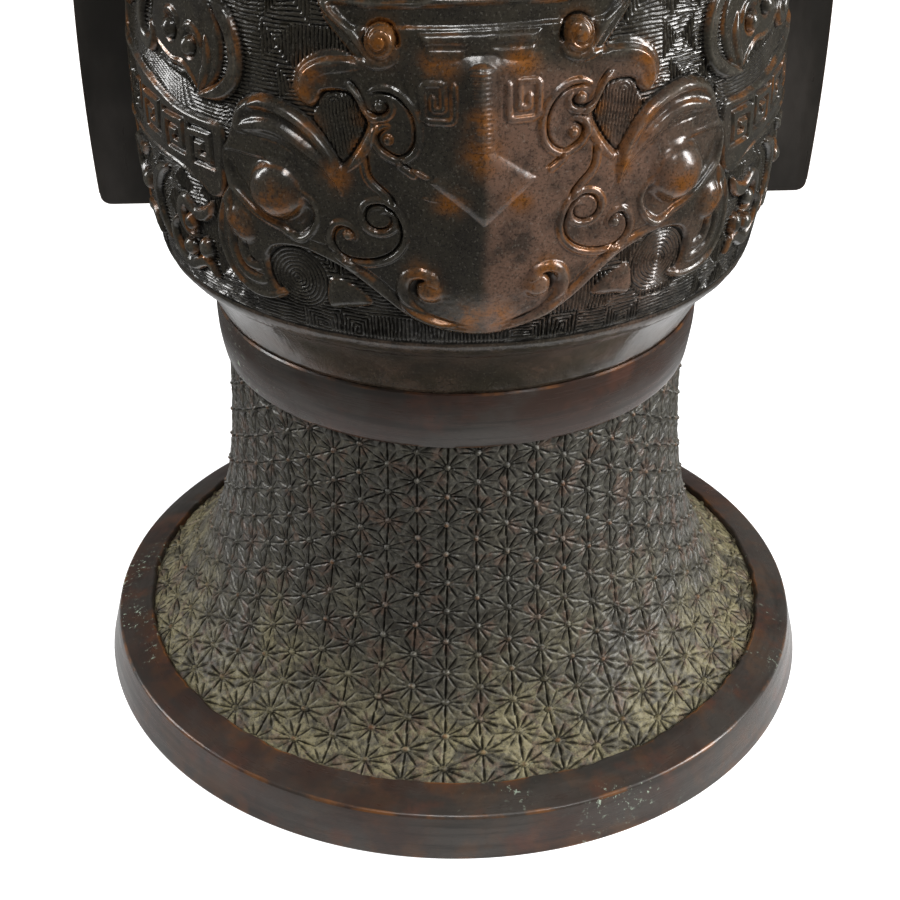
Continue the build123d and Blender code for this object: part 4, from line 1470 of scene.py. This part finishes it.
class GuCollars(bpy.types.Operator):
    """Plain bands above and below the belly"""

    bl_idname = "gu.collars"
    bl_label = "Collars"

    def execute(self, context):
        narrow = COLLAR_RADIUS - 1.3
        inner = 58.65
        shelf, shelf_low, shelf_top = 53, 5.2, 8.2
        tall = BELLY_SEAT - COLLAR_SEAT
        band = bowed((narrow, 0.35), (COLLAR_RADIUS, tall - 0.35), 0.5, 24)
        ends = [
            (COLLAR_RADIUS - 0.4, tall), (inner, tall), (inner, shelf_top), (shelf, shelf_top),
            (shelf, shelf_low), (inner, shelf_low), (inner, 0), (narrow - 0.4, 0),
        ]
        outline = np.vstack([band, ends])
        turned_ring("lower_collar", outline + (0, COLLAR_SEAT), COLLAR_COLUMNS, "foot_collar")
        turned_ring("upper_collar", outline[::-1] * (1, -1) + (0, NECK_SEAT), COLLAR_COLUMNS, "neck_collar")
        return {"FINISHED"}


class GuFlanges(bpy.types.Operator):
    """Plain plate flanges at the sides"""

    bl_idname = "gu.flanges"
    bl_label = "Flanges"

    def execute(self, context):
        material = finish("flange bronze", flange_finish)
        for name, node, side in (("flange_right", "right_flange", 1), ("flange_left", "left_flange", -1)):
            mesh = flange_mesh(name, side)
            add_piece(mesh, material, "flange_bronze", node)
        return {"FINISHED"}


def flange_mesh(name, side):
    """Plate that follows the belly, with softened edges."""
    low, high = FLANGE_LOW[2], FLANGE_HIGH[2]
    half_thick = FLANGE_HIGH[1]
    reach = FLANGE_HIGH[0] - 0.7
    levels = np.linspace(low, high, 45)
    share = (levels - BELLY_MIDDLE) / ((high - low) / 2)
    outer = np.column_stack([reach - 1.1 * share**2, levels])
    curve = (BARREL_HALF**2 + BARREL_SWELL**2) / (2 * BARREL_SWELL)
    seat = BARREL_RADIUS - 0.7 - curve + np.sqrt(curve**2 - (levels - BELLY_MIDDLE) ** 2)
    inner = np.column_stack([seat, levels])
    corner = 3.0
    outer = outer[(levels > low + corner) & (levels < high - corner)]
    end = reach - 1.1
    top = bezier((end + 0.05, high - corner), (end, high), (end - corner, high), 8)
    foot = bezier((end - corner, low), (end, low), (end + 0.05, low + corner), 8)
    outline = np.vstack([foot, outer, top, inner[::-1]])
    bm = bmesh.new()
    rings = [[bm.verts.new((x * MM, y * MM, z * MM)) for x, z in outline] for y in (-half_thick, half_thick)]
    bm.faces.new(rings[0])
    bm.faces.new(rings[1][::-1])
    count = len(outline)
    for number in range(count):
        after = (number + 1) % count
        bm.faces.new((rings[0][number], rings[1][number], rings[1][after], rings[0][after]))
    bmesh.ops.recalc_face_normals(bm, faces=bm.faces[:])
    sharp = [e for e in bm.edges if len(e.link_faces) == 2 and e.calc_face_angle() > math.radians(60)]
    bmesh.ops.bevel(
        bm, geom=sharp, offset=0.9 * MM, segments=4, profile=0.6, affect="EDGES", clamp_overlap=True
    )
    if side < 0:
        for vert in bm.verts:
            vert.co.xy = -vert.co.xy
    mesh = bpy.data.meshes.new(name)
    bm.to_mesh(mesh)
    bm.free()
    mesh.shade_smooth()
    mesh.set_sharp_from_angle(angle=math.radians(35))
    return mesh


class GuInside(bpy.types.Operator):
    """Finish of the floor disc and the pins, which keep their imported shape"""

    bl_idname = "gu.inside"
    bl_label = "Inside pieces"

    def execute(self, context):
        material = finish("inside casting bronze", inner_finish)
        for node in ("belly_floor", "flange_pins"):
            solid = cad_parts[node]
            solid.data.materials.clear()
            solid.data.materials.append(material)
        return {"FINISHED"}


# Stage
# Distances in metres over which the floor dims in gloss and brightens to the camera, and how bright both look
DIM_REACH = (0.12, 0.22)
PAPER_REACH, PAPER_GLOW = (0.25, 0.8), (0.72, 0.97)
DIM_FLOOR = (0.08, 0.08, 0.08)
FLOOR_GLOSS, FAR_FLOOR_LOSS = 0.15, 0.13
SKY, SKY_TO_CAMERA, SKY_IN_GLOSS = 0.12, 0.88, 0.06
FLOOR_SIZE = 8.0
SENSOR_WIDTH = 36

# Name, place, height aimed at on the axis, size, and the property with its power
LAMPS = [
    ("lamp_right", (1.18, -0.27, 0.58), 0.15, (0.24, 0.75), "key_power"),
    ("lamp_left", (-1.12, 0.22, 0.62), 0.15, (0.2, 0.7), "fill_power"),
    ("lamp_top", (-0.1, -0.66, 1.28), 0.15, (0.24, 0.24), "top_power"),
    ("lamp_front", (0.55, -0.85, 1.05), 0.17, (0.16, 0.16), "front_power"),
]


def ray_kinds(n):
    """1 for rays from the camera, and 1 for rays from gloss or through glass."""
    path = n.add("ShaderNodeLightPath")
    glossy = n.larger(path.outputs["Is Glossy Ray"], path.outputs["Is Transmission Ray"])
    return path.outputs["Is Camera Ray"], glossy


def floor_finish(floor_colour):
    """Sheet of pale paper that reads as white and keeps the vase's shadow; far off it mirrors dimly."""
    material, n = new_finish("floor")
    camera, glossy = ray_kinds(n)
    reach = n.add("ShaderNodeVectorMath", operation="LENGTH")
    n.feed(reach.inputs[0], n.coordinates())
    far = n.times(glossy, n.scaled(reach.outputs["Value"], *DIM_REACH))
    matt = n.add("ShaderNodeBsdfDiffuse")
    n.feed(matt.inputs["Color"], n.blend(far, floor_colour, DIM_FLOOR))
    glow = n.add("ShaderNodeEmission")
    paper = n.scaled(reach.outputs["Value"], *PAPER_REACH, *PAPER_GLOW)
    shine = n.plus(n.times(camera, paper), n.times(glossy, FLOOR_GLOSS))
    n.feed(glow.inputs["Strength"], n.plus(shine, n.times(far, -FAR_FLOOR_LOSS)))
    both = n.add("ShaderNodeAddShader")
    n.feed(both.inputs[0], matt.outputs[0])
    n.feed(both.inputs[1], glow.outputs[0])
    output = n.add("ShaderNodeOutputMaterial")
    n.feed(output.inputs["Surface"], both.outputs[0])
    return material


def add_lamp(name, place, aim_height, size, power):
    """Soft rectangular lamp, turned to a height on the vase's axis."""
    lamp = bpy.data.lights.new(name, "AREA")
    lamp.shape = "RECTANGLE"
    lamp.size, lamp.size_y = size
    lamp.energy = power
    holder = bpy.data.objects.new(name, lamp)
    bpy.context.scene.collection.objects.link(holder)
    holder.location = place
    way = np.array((0, 0, aim_height)) - np.array(place)
    holder.rotation_euler = (
        math.acos(-way[2] / np.linalg.norm(way)),
        0,
        math.atan2(way[1], way[0]) - math.pi / 2,
    )


def add_sky(scene):
    """White sky, bright to the camera and dim otherwise."""
    world = bpy.data.worlds.new("studio")
    scene.world = world
    world.use_nodes = True
    n = Nodes(world.node_tree)
    camera, glossy = ray_kinds(n)
    sky = n.add("ShaderNodeBackground")
    strength = n.plus(n.times(camera, SKY_TO_CAMERA), n.times(glossy, SKY_IN_GLOSS))
    n.feed(sky.inputs["Strength"], n.plus(strength, SKY))
    output = n.add("ShaderNodeOutputWorld")
    n.feed(output.inputs["Surface"], sky.outputs[0])
    sky.inputs["Color"].default_value = (1, 1, 1, 1)


def add_camera(scene, stage):
    """Camera in the place of the photograph's."""
    lens = bpy.data.cameras.new("camera")
    lens.lens = stage.lens
    lens.sensor_width = SENSOR_WIDTH
    lens.clip_start = 0.01
    camera = bpy.data.objects.new("camera", lens)
    scene.collection.objects.link(camera)
    turn = stage.camera_turn
    right = np.array([math.cos(turn), math.sin(turn), 0])
    ahead = np.array([-math.sin(turn), math.cos(turn), 0])
    place = -ahead * stage.camera_distance - right * stage.camera_shift
    camera.location = (place[0], place[1], stage.camera_height)
    aim = Matrix.Rotation(turn, 3, "Z") @ Matrix.Rotation(math.pi / 2 - stage.camera_dip, 3, "X")
    camera.rotation_euler = (aim @ Matrix.Rotation(stage.camera_roll, 3, "Z")).to_euler()
    scene.camera = camera


class GuStudio(bpy.types.Operator):
    """Floor, lamps, sky and camera"""

    bl_idname = "gu.studio"
    bl_label = "Studio"

    def execute(self, context):
        stage = context.scene.gu_stage
        bpy.ops.mesh.primitive_plane_add(size=FLOOR_SIZE)
        floor = context.object
        floor.name = "floor"
        floor.data.materials.append(floor_finish(tuple(stage.floor_colour)))
        add_sky(context.scene)
        for name, place, aim_height, size, power_name in LAMPS:
            add_lamp(name, place, aim_height, size, getattr(stage, power_name))
        add_camera(context.scene, stage)
        context.scene.view_settings.view_transform = "Standard"
        return {"FINISHED"}


class GuPanel(bpy.types.Panel):
    """Sidebar list of the vase's pieces"""

    bl_idname = "VIEW3D_PT_gu_vase"
    bl_label = "Gu vase"
    bl_space_type = "VIEW_3D"
    bl_region_type = "UI"
    bl_category = "Gu vase"

    def draw(self, context):
        for piece in PIECES:
            self.layout.operator(piece.bl_idname)
        for group in (context.scene.gu_relief, context.scene.gu_colours, context.scene.gu_stage):
            column = self.layout.column()
            for name in group.__annotations__:
                column.prop(group, name)


GROUPS = {"gu_relief": GuReliefSizes, "gu_colours": GuColours, "gu_stage": GuStage}
PIECES = [GuFoot, GuBelly, GuNeck, GuRings, GuCollars, GuFlanges, GuInside, GuStudio]


def register():
    """Adds the classes, and the properties of the scene."""
    for made in [*GROUPS.values(), *PIECES, GuPanel]:
        bpy.utils.register_class(made)
    for name, group in GROUPS.items():
        setattr(bpy.types.Scene, name, PointerProperty(type=group))


def unregister():
    """Takes them away again."""
    for name in GROUPS:
        delattr(bpy.types.Scene, name)
    for made in reversed([*GROUPS.values(), *PIECES, GuPanel]):
        bpy.utils.unregister_class(made)


def main():
    """Builds every piece and the stage."""
    register()
    bpy.ops.gu.foot()
    bpy.ops.gu.belly()
    bpy.ops.gu.neck()
    bpy.ops.gu.rings()
    bpy.ops.gu.collars()
    bpy.ops.gu.flanges()
    bpy.ops.gu.inside()
    bpy.ops.gu.studio()


if __name__ == "__main__":
    main()
